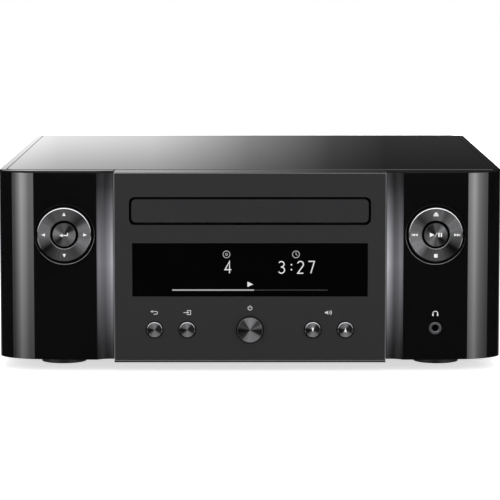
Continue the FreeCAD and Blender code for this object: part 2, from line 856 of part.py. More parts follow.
def make_display():
    """The clear window and the display module behind it."""
    gap = "window_clearance"
    pane = block(
        "window_pane",
        both(f"window_half_width - {gap}"),
        (f"{PANEL_FACE} + window_inset", PANEL_INNER),
        (f"window_bottom + {gap}", f"window_top - {gap}"),
    )
    flange = block(
        "window_rim",
        both(WINDOW_WIDE),
        (PANEL_INNER, f"{PANEL_INNER} + window_flange"),
        ("window_bottom - window_flange * 2", "window_top + window_flange * 2"),
    )
    piece("display_window", join("window_joined", pane, flange))
    tube = block(
        "display_tube",
        both("window_half_width - window_flange"),
        (DISPLAY_FRONT, DISPLAY_BOARD),
        ("window_bottom", "window_top"),
    )
    pcb = block(
        "display_pcb",
        both("display_board_half"),
        (DISPLAY_BOARD, f"{DISPLAY_BOARD} + board_thickness"),
        ("window_bottom - display_margin", "window_top + display_margin"),
    )
    return piece("display_module", join("display_joined", tube, pcb))


def make_headphone_jack():
    """The headphone socket: a ring in the wing, a body behind it, and the bore for the plug."""
    front = f"{WING_FACE} + jack_sink"
    at_jack = (JACK_PLACE, "jack_level")
    inner = f"{WING_FACE} + wing_sweep + wing_wall"
    collar = rod("jack_collar", "y", at_jack, (front, inner), "jack_ring_radius")
    body = block(
        "jack_body",
        both_about(JACK_PLACE, "jack_body_half"),
        (inner, f"{front} + jack_length + overlap"),
        both_about("jack_level", "jack_body_half"),
    )
    bore = rod("jack_bore_cut", "y", at_jack, (f"{front} - overlap", f"{front} + jack_length"), "jack_bore")
    return piece("headphone_jack", cut("jack_cut", join("jack_joined", collar, body), bore))


# Places of the tray and its works
TRAY_FRONT = "-panel_face + door_thickness"
TRAY_BACK = "-panel_face + door_thickness + tray_length"
DISC = "-panel_face + disc_setback"
FRAME_FRONT = "-panel_face + frame_front_setback"
FRAME_BACK = "-panel_face + frame_front_setback + frame_length"
FLOOR_TOP = "frame_floor + floor_thickness"
WALL_INNER = "tray_half_width + running_gap"
GEAR_X = "-(rack_pitch_place) + rack_module * pinion_teeth / 2"
GEAR_Y = "-panel_face + gear_setback"
DRIVER_Y = f"{GEAR_Y} + train_module * (wheel_teeth + driver_teeth) / 2"
WHEEL_LEVEL = "tray_bottom - wheel_drop"
WHEEL_TOP = f"{WHEEL_LEVEL} + gear_face_width"
DRIVER_TOP = f"{WHEEL_TOP} + driver_overlap"
HUB_LEVEL = f"{FLOOR_TOP} + seat_clearance"
PIVOT_Y = f"{DISC} + pivot_behind_disc"
TRAVERSE_TOP = "traverse_level + traverse_thickness"
TRAVERSE_MIDDLE = "traverse_level + traverse_thickness / 2"
CAM_Y = f"{DISC} - traverse_front_reach - cam_reach"
LIFT_DROP = f"({PIVOT_Y} - ({CAM_Y})) * sin(lift_angle)"
TABLE_BOTTOM = "turntable_top - table_thickness"
ROD_FRONT = f"{DISC} + rod_front_reach"
ROD_BACK = f"{PIVOT_Y} + pivot_boss - rod_block_thickness"
ROD_LEVEL = f"{TRAVERSE_TOP} + rod_rise"
SLED_TOP = f"{ROD_LEVEL} + rod_radius + sled_lip"
CAM_END = f"{WALL_INNER} - cam_travel - cam_run_out"


def involute(angle):
    """The involute function of a pressure angle."""
    return math.tan(angle) - angle


def gear_face(teeth, module, bore_turn):
    """The outline of a spur gear with involute flanks; bore_turn is the angle of the first tooth."""
    pressure = math.radians(value("pressure_angle"))
    pitch = teeth * module / 2
    base = pitch * math.cos(pressure)
    tip = pitch + value("addendum") * module
    root = pitch - value("dedendum") * module
    half = math.pi / (2 * teeth) - value("backlash") / (4 * pitch)
    flank = []
    for radius in (max(base, root), pitch, tip):
        lean = involute(pressure) - involute(math.acos(min(base / radius, 1)))
        flank.append((radius, half + lean))
    if root < base:
        flank[0] = (root, flank[0][1])
    corners = []
    for tooth in range(teeth):
        middle = bore_turn + 2 * math.pi * tooth / teeth
        side = [(radius, middle - angle) for radius, angle in flank]
        side += [(radius, middle + angle) for radius, angle in reversed(flank)]
        corners += [FreeCAD.Vector(r * math.cos(a), r * math.sin(a), 0) for r, a in side]
    return Part.Face(Part.makePolygon(corners + corners[:1]))


def gear(name, teeth, module, first_tooth, at, span):
    """A toothed disc about Z, from the low to the high end of its span."""
    disc = doc.addObject("Part::Feature", name)
    low, high = value(span[0]), value(span[1])
    face = gear_face(int(value(teeth)), value(module), first_tooth)
    disc.Shape = face.extrude(FreeCAD.Vector(0, 0, high - low))
    disc.Placement = FreeCAD.Placement(
        FreeCAD.Vector(value(at[0]), value(at[1]), low), FreeCAD.Rotation()
    )
    return disc


def rack(name):
    """The tray's rack: teeth on its inner side, one of them level with the gear when the tray is shut."""
    module = value("rack_module")
    pitch = math.pi * module
    pitch_line, gear_y = -value("rack_pitch_place"), value(GEAR_Y)
    slope = math.tan(math.radians(value("pressure_angle")))
    half = pitch / 4 - value("backlash") / 4
    up, down = value("addendum") * module, value("dedendum") * module
    front = gear_y - 2 * pitch + pitch / 2
    count = int((value(TRAY_BACK) - value("overlap") - front) / pitch)
    corners = [FreeCAD.Vector(pitch_line - value("rack_width"), front, 0)]
    corners.append(FreeCAD.Vector(pitch_line - down, front, 0))
    for tooth in range(count):
        middle = front + pitch * (tooth + 0.5)
        for across, along in (
            (-down, -half - down * slope),
            (up, -half + up * slope),
            (up, half - up * slope),
            (-down, half + down * slope),
        ):
            corners.append(FreeCAD.Vector(pitch_line + across, middle + along, 0))
    corners.append(FreeCAD.Vector(pitch_line - down, front + pitch * count, 0))
    corners.append(FreeCAD.Vector(pitch_line - value("rack_width"), front + pitch * count, 0))
    strip = doc.addObject("Part::Feature", name)
    depth = value("deck_bottom - tray_bottom")
    strip.Shape = Part.Face(Part.makePolygon(corners + corners[:1])).extrude(FreeCAD.Vector(0, 0, depth))
    strip.Placement = FreeCAD.Placement(FreeCAD.Vector(0, 0, value("tray_bottom")), FreeCAD.Rotation())
    return strip


def make_tray():
    """The sliding tray with its two disc recesses, the slot for the turntable, runners and rack."""
    deck = block("tray_deck", both("tray_half_width"), (TRAY_FRONT, TRAY_BACK), ("deck_bottom", "deck_top"))
    at_disc, above = (0, DISC), "deck_top + overlap"
    recess = rod("disc_recess", "z", at_disc, ("deck_top - disc_recess_depth", above), "disc_recess_radius")
    small = rod(
        "small_disc_recess",
        "z",
        at_disc,
        ("deck_top - disc_recess_depth - small_disc_depth", above),
        "small_disc_radius",
    )
    half = "tray_slot_half_width"
    opening = prism(
        "turntable_slot",
        "xy",
        ("deck_bottom - overlap", above),
        [
            (f"-{half}", f"{TRAY_BACK} + overlap"),
            (f"-{half}", DISC, half),
            (0, f"{DISC} - {half}", half),
            (half, DISC),
            (half, f"{TRAY_BACK} + overlap"),
        ],
    )
    hollow_deck = cut("tray_deck_cut", deck, recess, small, opening)
    runners = []
    for side, sign in (("left", -1), ("right", 1)):
        across = sorted_span(sign, "tray_half_width - runner_width", "tray_half_width")
        deep = ("tray_bottom", "deck_bottom")
        runners.append(block(f"{side}_runner", across, (TRAY_FRONT, TRAY_BACK), deep))
    piece("disc_tray", join("tray_joined", hollow_deck, *runners, rack("tray_rack")))
    door = prism(
        "door_blank",
        "xz",
        (PANEL_FACE, TRAY_FRONT),
        rounded(
            both("slot_half_width - door_gap"),
            ("slot_bottom + door_gap", "slot_top - door_gap"),
            "slot_corner - door_gap / 2",
        ),
    )

    def is_face_edge(edge):
        return all(abs(vertex.Y - value(PANEL_FACE)) < SAME_PLACE for vertex in edge.Vertexes)

    piece("tray_front", bevelled("door_bevelled", door, "door_bevel", is_face_edge))


def make_loader_frame():
    """The moulded frame: floor with a well, side walls with rails and hooks, gear post and pivot lugs."""
    outer = f"{WALL_INNER} + frame_wall"
    floor = block("frame_floor_blank", both(outer), (FRAME_FRONT, FRAME_BACK), ("frame_floor", FLOOR_TOP))
    well = block(
        "frame_well",
        both("well_half_width"),
        (f"{DISC} - traverse_front_reach - well_margin", f"{PIVOT_Y} + pivot_boss + well_margin"),
        ("frame_floor - overlap", f"{FLOOR_TOP} + overlap"),
    )
    shaft_hole = rod(
        "motor_shaft_hole",
        "z",
        (GEAR_X, DRIVER_Y),
        ("frame_floor - overlap", f"{FLOOR_TOP} + overlap"),
        "spindle_radius + seat_clearance",
    )
    parts = [cut("frame_floor_cut", floor, well, shaft_hole)]
    for side, sign in (("left", -1), ("right", 1)):
        wall = sorted_span(sign, WALL_INNER, outer)
        rail = sorted_span(sign, f"{WALL_INNER} - rail_width", WALL_INNER)
        hook = sorted_span(sign, f"{WALL_INNER} - hook_reach", WALL_INNER)
        rail_top = "tray_bottom - seat_clearance"
        hook_bottom = "deck_top + seat_clearance"
        along = (FRAME_FRONT, FRAME_BACK)
        parts.append(block(f"{side}_wall", wall, along, ("frame_floor", "frame_top")))
        parts.append(block(f"{side}_rail", rail, along, (f"{rail_top} - floor_thickness", rail_top)))
        for number, front in enumerate((FRAME_FRONT, f"{FRAME_BACK} - hook_length")):
            reach = (front, f"{front} + hook_length")
            parts.append(
                block(f"{side}_hook_{number}", hook, reach, (hook_bottom, f"{hook_bottom} + floor_thickness"))
            )
        lug = sorted_span(sign, "well_half_width", "well_half_width + lug_thickness")
        parts.append(
            block(
                f"{side}_pivot_lug",
                lug,
                both_about(PIVOT_Y, "pivot_boss"),
                (f"{FLOOR_TOP} - floor_thickness / 2", f"{TRAVERSE_MIDDLE} + pivot_boss"),
            )
        )
    base = f"{FLOOR_TOP} - floor_thickness / 2"
    post_span = (base, "deck_bottom - seat_clearance")
    parts.append(rod("tray_gear_post", "z", (GEAR_X, GEAR_Y), post_span, "post_radius"))
    near = "cam_thickness / 2 + seat_clearance"
    for number, span in enumerate((
        (f"{CAM_Y} - ({near} + guide_width)", f"{CAM_Y} - ({near})"),
        (f"{CAM_Y} + {near}", f"{CAM_Y} + {near} + guide_width"),
    )):
        deep = (base, f"{FLOOR_TOP} + guide_height")
        parts.append(block(f"cam_guide_{number}", ("guide_start", WALL_INNER), span, deep))
    bearing = "pivot_pin_radius + shaft_clearance"
    notch = block(
        "pivot_notch",
        both("well_half_width + lug_thickness + overlap"),
        both_about(PIVOT_Y, bearing),
        (f"{TRAVERSE_MIDDLE} - ({bearing})", f"{TRAVERSE_MIDDLE} + pivot_boss + overlap"),
    )
    return piece("loader_frame", cut("frame_cut", join("frame_joined", *parts), notch))


def make_opening_gears():
    """The train that opens the tray: the tray gear, the motor's pinion and the motor."""
    at_gear = (GEAR_X, GEAR_Y)
    rack_side_gap = math.pi + math.pi / value("pinion_teeth")
    pinion_span = (WHEEL_TOP, "deck_bottom - seat_clearance")
    pinion = gear("tray_pinion", "pinion_teeth", "rack_module", rack_side_gap, at_gear, pinion_span)
    wheel = gear("tray_wheel", "wheel_teeth", "train_module", math.pi / 2, at_gear, (WHEEL_LEVEL, WHEEL_TOP))
    hub = rod("tray_gear_hub", "z", at_gear, (HUB_LEVEL, WHEEL_LEVEL), "hub_outer")
    bore = rod("tray_gear_bore", "z", at_gear, (FLOOR_TOP, "deck_bottom"), "post_radius + shaft_clearance")
    piece("tray_gear", cut("tray_gear_cut", join("tray_gear_joined", pinion, wheel, hub), bore))

    at_driver = (GEAR_X, DRIVER_Y)
    wheel_side_gap = -math.pi / 2 + math.pi / value("driver_teeth")
    driver_bottom = f"{WHEEL_LEVEL} - driver_overlap"
    driver = gear("driver_teeth_disc", "driver_teeth", "train_module", wheel_side_gap, at_driver,
                  (driver_bottom, DRIVER_TOP))
    hub = rod("driver_hub", "z", at_driver, (HUB_LEVEL, driver_bottom), "hub_outer")
    bore_span = (FLOOR_TOP, f"{DRIVER_TOP} + overlap")
    bore = rod("driver_bore", "z", at_driver, bore_span, "spindle_radius + shaft_clearance")
    piece("motor_pinion", cut("motor_pinion_cut", join("motor_pinion_joined", driver, hub), bore))

    can = rod("motor_can", "z", at_driver, ("frame_floor - motor_length", "frame_floor"), "motor_radius")
    shaft_span = ("frame_floor", f"{DRIVER_TOP} - shaft_sink")
    shaft = rod("motor_shaft", "z", at_driver, shaft_span, "spindle_radius")
    piece("loading_motor", join("motor_joined", can, shaft))


def make_cam_slider():
    """The slider whose sloping slot raises and lowers the front of the traverse."""
    stretch = f"sqrt(1 + pow({LIFT_DROP} / cam_travel; 2))"
    half = "(lift_pin_radius + cam_clearance)"
    high, low = TRAVERSE_MIDDLE, f"{TRAVERSE_MIDDLE} - {LIFT_DROP}"
    bend = f"({half}) * ({stretch} - overlap) * cam_travel / ({LIFT_DROP})"
    bottom = f"{FLOOR_TOP} + seat_clearance"
    low_top, high_top = f"{low} + {half} + cam_margin", f"{high} + {half} + cam_margin"
    plate = prism(
        "cam_plate",
        "xz",
        both_about(CAM_Y, "cam_thickness / 2"),
        straight(
            ("-cam_travel - cam_dwell * 2", bottom),
            (CAM_END, bottom),
            (CAM_END, low_top),
            ("cam_dwell * 2", low_top),
            ("cam_dwell * 2", high_top),
            ("-cam_dwell", high_top),
            ("-cam_travel", low_top),
            ("-cam_travel - cam_dwell * 2", low_top),
        ),
        straight(
            ("-cam_travel - cam_dwell", f"{low} - {half}"),
            (f"-cam_travel + {bend}", f"{low} - {half}"),
            (bend, f"{high} - {half}"),
            ("cam_dwell", f"{high} - {half}"),
            ("cam_dwell", f"{high} + {half}"),
            (f"-({bend})", f"{high} + {half}"),
            (f"-cam_travel - {bend}", f"{low} + {half}"),
            ("-cam_travel - cam_dwell", f"{low} + {half}"),
        ),
    )
    return piece("cam_slider", plate)


def make_traverse():
    """The traverse under the disc: its frame, guide rods, spindle motor, turntable, sled and lens."""
    front = f"{DISC} - traverse_front_reach"
    back = f"{PIVOT_Y} + pivot_boss"
    deep = ("traverse_level", TRAVERSE_TOP)
    plate = block("traverse_plate", both("traverse_half_width"), (front, back), deep)
    tunnel = ("traverse_level - overlap", f"{TRAVERSE_TOP} + overlap")
    window = block(
        "sled_window",
        both("rod_spread - rod_block / 2 - overlap"),
        (f"{DISC} + turntable_radius", f"{PIVOT_Y} - pivot_boss"),
        tunnel,
    )
    eye = rod("spindle_eye", "z", (0, DISC), tunnel, "spindle_radius + seat_clearance")
    parts = [cut("traverse_plate_cut", plate, window, eye)]
    front_block = (f"{ROD_FRONT} - rod_block_thickness", ROD_FRONT)
    back_block = (ROD_BACK, f"{ROD_BACK} + rod_block_thickness")
    for side, sign in (("left", "-"), ("right", "")):
        for end, span in (("front", front_block), ("back", back_block)):
            across = both_about(f"{sign}rod_spread", "rod_block / 2")
            deep = (f"{TRAVERSE_TOP} - traverse_thickness / 2", f"{ROD_LEVEL} + rod_radius + rod_lip")
            parts.append(block(f"{side}_{end}_rod_block", across, span, deep))
    pin_end = "well_half_width + lug_thickness"
    parts.append(rod("pivot_pins", "x", (PIVOT_Y, TRAVERSE_MIDDLE), both(pin_end), "pivot_pin_radius"))
    lift_span = (f"{CAM_Y} - cam_thickness", f"{front} + overlap")
    parts.append(rod("lift_pin", "y", (0, TRAVERSE_MIDDLE), lift_span, "lift_pin_radius"))
    piece("traverse_frame", join("traverse_joined", *parts))

    rods = []
    for side, sign in (("left", "-"), ("right", "")):
        at_rod = (f"{sign}rod_spread", ROD_LEVEL)
        rods.append(rod(f"{side}_guide_rod", "y", at_rod, (ROD_FRONT, ROD_BACK), "rod_radius"))
    piece("guide_rods", group("guide_rod_pair", *rods))

    base = rod("spindle_base", "z", (0, DISC), ("traverse_level - spindle_motor_height", "traverse_level"),
               "spindle_motor_radius")
    shaft_span = ("traverse_level", "turntable_top + hub_height - shaft_sink")
    shaft = rod("spindle_shaft", "z", (0, DISC), shaft_span, "spindle_radius")
    piece("spindle_motor", join("spindle_joined", base, shaft))
    table = spun(
        "turntable_turn",
        "z",
        (0, DISC, TABLE_BOTTOM),
        straight(
            ("spindle_radius + shaft_clearance", 0),
            ("turntable_radius", 0),
            ("turntable_radius", "table_thickness"),
            ("hub_radius", "table_thickness"),
            ("hub_radius", "table_thickness + hub_height"),
            ("spindle_radius + shaft_clearance", "table_thickness + hub_height"),
        ),
    )
    piece("turntable", table)

    sled_front = f"{ROD_FRONT} + seat_clearance"
    sled_bottom = f"{TRAVERSE_TOP} + seat_clearance"
    sled = block("sled_blank", both("rod_spread + rod_block / 2"),
                 (sled_front, f"{sled_front} + sled_length"), (sled_bottom, SLED_TOP))
    bore_span = (f"{sled_front} - overlap", f"{sled_front} + sled_length + overlap")
    bearing = "rod_radius + shaft_clearance"
    bore = rod("sled_bore", "y", ("-rod_spread", ROD_LEVEL), bore_span, bearing)
    fork = block(
        "sled_fork",
        (f"rod_spread - ({bearing})", "rod_spread + rod_block"),
        bore_span,
        both_about(ROD_LEVEL, bearing),
    )
    piece("pickup_sled", cut("sled_cut", sled, bore, fork))
    at_lens = (0, f"{DISC} + first_track")
    holder = rod("lens_holder", "z", at_lens, (SLED_TOP, f"{SLED_TOP} + lens_rim"), "lens_radius")
    eye = rod("lens_eye_glass", "z", at_lens, (SLED_TOP, f"{SLED_TOP} + lens_height"), "lens_eye")
    piece("pickup_lens", join("lens_joined", holder, eye))


def make_clamp():
    """The bridge over the tray and the clamper that hangs in it by four hooks."""
    outer = f"{WALL_INNER} + frame_wall"
    span = block("bridge_bar", both(outer), both_about(DISC, "bridge_width / 2"),
                 ("frame_top", "frame_top + bridge_thickness"))
    through = ("frame_top - overlap", "frame_top + bridge_thickness + overlap")
    hole = rod("bridge_hole", "z", (0, DISC), through, "clamper_neck + bridge_play")
    piece("clamper_bridge", cut("bridge_cut", span, hole))
    disc_span = ("clamper_bottom", "frame_top - seat_clearance")
    disc = rod("clamper_disc", "z", (0, DISC), disc_span, "clamper_radius")
    hook_low = "frame_top + bridge_thickness + hang_gap"
    hook_span = (hook_low, f"{hook_low} + clamper_lip_thickness")
    neck = rod("clamper_neck_rod", "z", (0, DISC), ("clamper_bottom", hook_span[1]), "clamper_neck")
    reach, half = "clamper_neck + clamper_lip", "clamper_lip_half"
    across = block("hooks_across", both(reach), both_about(DISC, half), hook_span)
    along = block("hooks_along", both(half), both_about(DISC, reach), hook_span)
    piece("clamper", join("clamper_joined", disc, neck, across, along))


# Places on the back, seen from the front
MAINS_AT = (f"-({HALF_WIDTH} - mains_inset)", "socket_level")
NETWORK_AT = (f"({HALF_WIDTH} - network_inset)", "socket_level")
USB_AT = (f"({HALF_WIDTH} - usb_inset)", "socket_level")
OPTICAL_LEVEL = "socket_level + phono_pitch"
OPTICAL_AT = [(USB_AT[0], OPTICAL_LEVEL), (f"{USB_AT[0]} + optical_pitch", OPTICAL_LEVEL)]
AERIAL_AT = (f"({HALF_WIDTH} - aerial_inset)", "socket_level")
TERMINALS_AT = (f"-({HALF_WIDTH} - terminal_inset)", "socket_level")
PHONO_X = f"(({TERMINALS_AT[0]} + terminal_half) + ({USB_AT[0]} - usb_half)) / 2"
PHONO_AT = [(PHONO_X, f"socket_level + {row} * phono_pitch") for row in (0, 1)]
POST_COUNT = 4
POSTS = [
    f"{TERMINALS_AT[0]} + {number - (POST_COUNT - 1) / 2} * post_pitch" for number in range(POST_COUNT)
]
CAP_SIDES = 6
POWER_BOARD_X = f"-({HALF_WIDTH} - power_board_inset)"
BOARD_PILLARS = [
    (f"{sign}(main_board_half_width - pillar_inset)", y)
    for sign in ("-", "")
    for y in ("main_board_front + pillar_inset", f"{BACK_INNER} - pillar_inset * 2")
]
BOARD_PILLARS += [
    (f"{POWER_BOARD_X} {sign} (power_board_half - pillar_inset)", y)
    for sign in ("-", "+")
    for y in ("power_board_front + pillar_inset", "power_board_back - pillar_inset")
]
LOADER_PILLARS = [
    (f"{sign}({WALL_INNER} - pillar_inset)", y)
    for sign in ("-", "")
    for y in (f"{FRAME_FRONT} + pillar_inset", f"{FRAME_BACK} - pillar_inset")
]
TERMINAL_FRONT = f"{BACK} + terminal_stand"
CAP_FRONT = f"{TERMINAL_FRONT} + cap_gap"
CAP_BACK = f"{CAP_FRONT} + cap_length"


def make_back_panel():
    """The steel back with a hole for each socket and two fields of vent slots."""
    deep = ("base_bottom", f"{COVER_TOP} - seat_clearance")
    panel = block("back_blank", both(COVER_SIDE), (BACK_INNER, BACK), deep)
    through = (f"{BACK_INNER} - overlap", f"{BACK} + overlap")
    gap = "seat_clearance"
    holes = []
    for name, at, size in (
        ("mains", MAINS_AT, ("mains_half", "mains_rise")),
        ("network", NETWORK_AT, ("network_half", "network_rise")),
        ("usb", USB_AT, ("usb_half", "usb_rise")),
        ("terminal", TERMINALS_AT, ("terminal_half", "terminal_rise")),
    ):
        across, up = around(at, *size, gap)
        holes.append(block(f"{name}_hole", across, through, up))
    for number, at in enumerate(OPTICAL_AT):
        across, up = around(at, "optical_half", "optical_half", gap)
        holes.append(block(f"optical_hole_{number}", across, through, up))
    for number, at in enumerate((*PHONO_AT, AERIAL_AT)):
        holes.append(rod(f"round_hole_{number}", "y", at, through, f"phono_radius + {gap}"))
    centres = [
        (f"{sign}back_vent_place + vent_pitch * {number - (VENT_ROWS - 1) / 2}", "back_vent_level")
        for sign in ("-", "")
        for number in range(VENT_ROWS)
    ]
    vents = slots("back_vent", centres, "vent_width", "vent_length", through)
    return piece("back_panel", cut("back_cut", panel, *holes, *vents))


def make_terminals():
    """The loudspeaker terminals: a moulded block with four posts, and a turning cap on each."""
    across, up = around(TERMINALS_AT, "terminal_half", "terminal_rise")
    parts = [block("terminal_body", across, (f"{BACK_INNER} - terminal_sink", TERMINAL_FRONT), up)]
    for number, place in enumerate(POSTS):
        span = (f"{TERMINAL_FRONT} - overlap", f"{CAP_BACK} - post_inset")
        parts.append(rod(f"post_{number}", "y", (place, "socket_level"), span, "screw_radius"))
    piece("speaker_terminals", join("terminals_joined", *parts))
    turns = [360 / CAP_SIDES * corner for corner in range(CAP_SIDES)]
    bore_span = (f"{CAP_FRONT} - overlap", f"{CAP_BACK} + overlap")
    for number, place in enumerate(POSTS, 1):
        corners = [
            (f"{place} + cap_radius * cos({turn})", f"socket_level + cap_radius * sin({turn})")
            for turn in turns
        ]
        cap = prism(f"cap_{number}", "xz", (CAP_FRONT, CAP_BACK), corners)
        at_post = (place, "socket_level")
        bore = rod(f"cap_bore_{number}", "y", at_post, bore_span, "screw_radius + shaft_clearance")
        piece(f"terminal_cap_{number}", cut(f"cap_cut_{number}", cap, bore))


def shell_with_mouth(name, at, half, walls, back, stand, depth):
    """A rectangular socket: its outer half sizes, the walls around its mouth and how deep the mouth is."""
    across, up = around(at, *half)
    shell = block(f"{name}_shell", across, (f"{BACK} - ({back})", f"{BACK} + {stand}"), up)
    across, up = around(at, f"{half[0]} - {walls[0]}", f"{half[1]} - {walls[1]}")
    mouth = block(f"{name}_mouth", across, (f"{BACK} - ({depth})", f"{BACK} + {stand} + overlap"), up)
    return cut(f"{name}_cut", shell, mouth)


def barrels(name, places, inner):
    """Round sockets with a bore for the plug's pin."""
    outer_span = (inner, f"{BACK} + phono_reach")
    bore_span = (f"{BACK} - phono_depth", f"{BACK} + phono_reach + overlap")
    outer, bores = [], []
    for number, at in enumerate(places):
        outer.append(rod(f"{name}_{number}", "y", at, outer_span, "phono_radius"))
        bores.append(rod(f"{name}_bore_{number}", "y", at, bore_span, "phono_bore"))
    return outer, bores


def make_sockets():
    """The phono, optical, network, USB, aerial and mains sockets."""
    inner = f"{BACK_INNER} - socket_depth"
    outer, bores = barrels("phono", PHONO_AT, inner)
    across, low = around(PHONO_AT[0], "holder_half", "holder_half")
    high = around(PHONO_AT[1], "holder_half", "holder_half")[1]
    holder = block("phono_holder", across, (inner, f"{BACK_INNER} - seat_clearance"), (low[0], high[1]))
    piece("phono_sockets", cut("phono_cut", join("phono_joined", holder, *outer), *bores))
    outer, bores = barrels("aerial", [AERIAL_AT], inner)
    piece("aerial_socket", cut("aerial_cut", *outer, *bores))

    cores = []
    walls = ("optical_wall", "optical_wall")
    for number, at in enumerate(OPTICAL_AT):
        cores.append(
            shell_with_mouth(f"optical_{number}", at, ("optical_half", "optical_half"), walls,
                             "sheet_steel + socket_depth", "optical_stand", "optical_stand")
        )
    piece("optical_sockets", group("optical_pair", *cores))
    network = shell_with_mouth("network", NETWORK_AT, ("network_half", "network_rise"),
                               ("network_wall", "network_lip"), "network_depth + socket_back", "socket_stand",
                               "network_depth")
    piece("network_socket", network)
    shell = shell_with_mouth("usb", USB_AT, ("usb_half", "usb_rise"), ("usb_wall", "usb_wall"),
                             "sheet_steel + socket_depth", "socket_stand", "usb_depth")
    tongue_low = f"{USB_AT[1]} + usb_tongue_low"
    tongue = block("usb_tongue", both_about(USB_AT[0], "usb_tongue_half"),
                   (f"{BACK} - usb_depth - overlap", f"{BACK} - shaft_sink"),
                   (tongue_low, f"{tongue_low} + usb_tongue_thickness"))
    piece("usb_socket", join("usb_joined", shell, tongue))

    across, up = around(MAINS_AT, "mains_half", "mains_rise")
    shell = block("mains_shell", across, (f"{BACK} - mains_depth - mains_back", f"{BACK} + mains_stand"), up)
    across, up = around(MAINS_AT, "mains_half - mains_wall", "mains_rise - mains_wall")
    mouth_span = (f"{BACK} - mains_depth", f"{BACK} + mains_stand + overlap")
    (left, right), (low, high) = across, up
    keyed = straight(
        (left, low),
        (right, low),
        (right, f"{high} - mains_corner"),
        (f"{right} - mains_corner", high),
        (f"{left} + mains_corner", high),
        (left, f"{high} - mains_corner"),
    )
    mouth = prism("mains_mouth", "xz", mouth_span, keyed)
    pins = []
    for number, sign in enumerate(("-", "+")):
        at = (f"{MAINS_AT[0]} {sign} pin_pitch / 2", MAINS_AT[1])
        across, up = around(at, "pin_half", "pin_rise")
        span = (f"{BACK} - mains_depth - overlap", f"{BACK} - pin_sink")
        pins.append(block(f"mains_pin_{number}", across, span, up))
    piece("mains_inlet", join("mains_joined", cut("mains_cut", shell, mouth), *pins))


def make_boards():
    """The main board, power board, transformer and finned heat sink inside the casing."""
    top = "board_level + board_thickness"
    along = ("main_board_front", f"{BACK_INNER} - board_gap")
    board = block("main_pcb", both("main_board_half_width"), along, ("board_level", top))
    along = both_about("main_board_front + chip_place", "transformer_size / 2")
    chip = block("main_chip", both("transformer_size / 2"), along, (top, f"{top} + chip_height"))
    piece("main_board", join("main_board_joined", board, chip))

    place = POWER_BOARD_X
    across, along = both_about(place, "power_board_half"), ("power_board_front", "power_board_back")
    parts = [block("power_pcb", across, along, ("board_level", top))]
    at_can = (f"{place} - can_offset", "power_board_front + can_setback")
    parts.append(rod("capacitor", "z", at_can, (top, f"{top} + can_height"), "can_radius"))
    piece("power_board", join("power_board_joined", *parts))

    middle = "power_board_back - core_setback"
    core = block("transformer_core", both_about(place, "transformer_size / 2"),
                 both_about(middle, "transformer_size / 2"), (top, f"{top} + transformer_size"))
    coil = block("transformer_coil", both_about(place, "transformer_size / 2 + coil_stand"),
                 both_about(middle, "transformer_size / 3"),
                 (f"{top} + coil_drop", f"{top} + transformer_size - coil_drop"))
    piece("power_transformer", join("transformer_joined", core, coil))

    sink_x = f"({HALF_WIDTH} - sink_inset)"
    across, along = both_about(sink_x, "sink_half"), both("sink_length / 2")
    parts = [block("sink_base", across, along, (BASE_TOP, f"{BASE_TOP} + sink_foot"))]
    for number in range(int(value("sink_fins"))):
        x = f"{sink_x} + ({number} - (sink_fins - 1) / 2) * sink_pitch"
        deep = (f"{BASE_TOP} + sink_foot - overlap", f"{BASE_TOP} + sink_height")
        across = both_about(x, "fin_thickness / 2")
        parts.append(block(f"sink_fin_{number}", across, along, deep))
    piece("heat_sink", join("sink_joined", *parts))


def check_and_write():
    """Stop if anything failed to build, and otherwise write each sub-part to its own file."""
    doc.recompute()
    for thing in doc.Objects:
        if "Invalid" in thing.State or "Error" in thing.State:
            raise RuntimeError(f"{thing.Label} failed: {thing.State}")
    os.makedirs("parts", exist_ok=True)
    for solid in pieces:
        shape = solid.Shape
        if shape.isNull() or not shape.isValid() or not shape.Solids:
            raise RuntimeError(f"{solid.Label} has no valid shape")
        shape.exportStep(f"parts/{solid.Label}.step")


make_centre_panel()
for side in ("left", "right"):
    make_wing(side)
    make_side_panel(side)
    make_ring_set(side)
make_top_plate()
make_inner_cover()
make_chassis_base()
make_feet()
make_front_keys()
make_front_board()
make_display()
make_headphone_jack()
make_tray()
make_loader_frame()
make_opening_gears()
make_cam_slider()
make_traverse()
make_clamp()
make_back_panel()
make_terminals()
make_sockets()
make_boards()
check_and_write()
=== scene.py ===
"""The looks of a compact disc receiver: its finishes, turned controls, signs, rear details, light and camera.

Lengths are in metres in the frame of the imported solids: X to the right, Y to the back, Z up.
"""

import bmesh
import bpy
import math
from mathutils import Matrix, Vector
from mathutils.bvhtree import BVHTree


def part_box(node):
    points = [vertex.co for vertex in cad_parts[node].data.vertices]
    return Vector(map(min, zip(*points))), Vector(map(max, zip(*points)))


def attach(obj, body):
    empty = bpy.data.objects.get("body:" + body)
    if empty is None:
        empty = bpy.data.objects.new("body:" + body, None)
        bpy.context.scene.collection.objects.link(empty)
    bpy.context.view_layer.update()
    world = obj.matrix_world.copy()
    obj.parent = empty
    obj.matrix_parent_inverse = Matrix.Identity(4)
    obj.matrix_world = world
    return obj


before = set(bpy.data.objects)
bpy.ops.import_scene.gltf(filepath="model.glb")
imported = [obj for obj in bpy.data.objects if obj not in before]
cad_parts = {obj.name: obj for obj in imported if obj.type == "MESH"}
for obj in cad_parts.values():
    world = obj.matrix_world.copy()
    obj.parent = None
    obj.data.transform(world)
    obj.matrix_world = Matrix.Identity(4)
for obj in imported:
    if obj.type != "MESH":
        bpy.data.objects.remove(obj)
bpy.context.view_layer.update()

MM = 0.001
SEGMENTS = 96
WHOLE_TURN = 2 * math.pi
SIDES = (("left", -1), ("right", 1))


def box_of(node):
    """The lowest and highest corner of a solid as vectors."""
    low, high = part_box(node)
    return Vector(low), Vector(high)


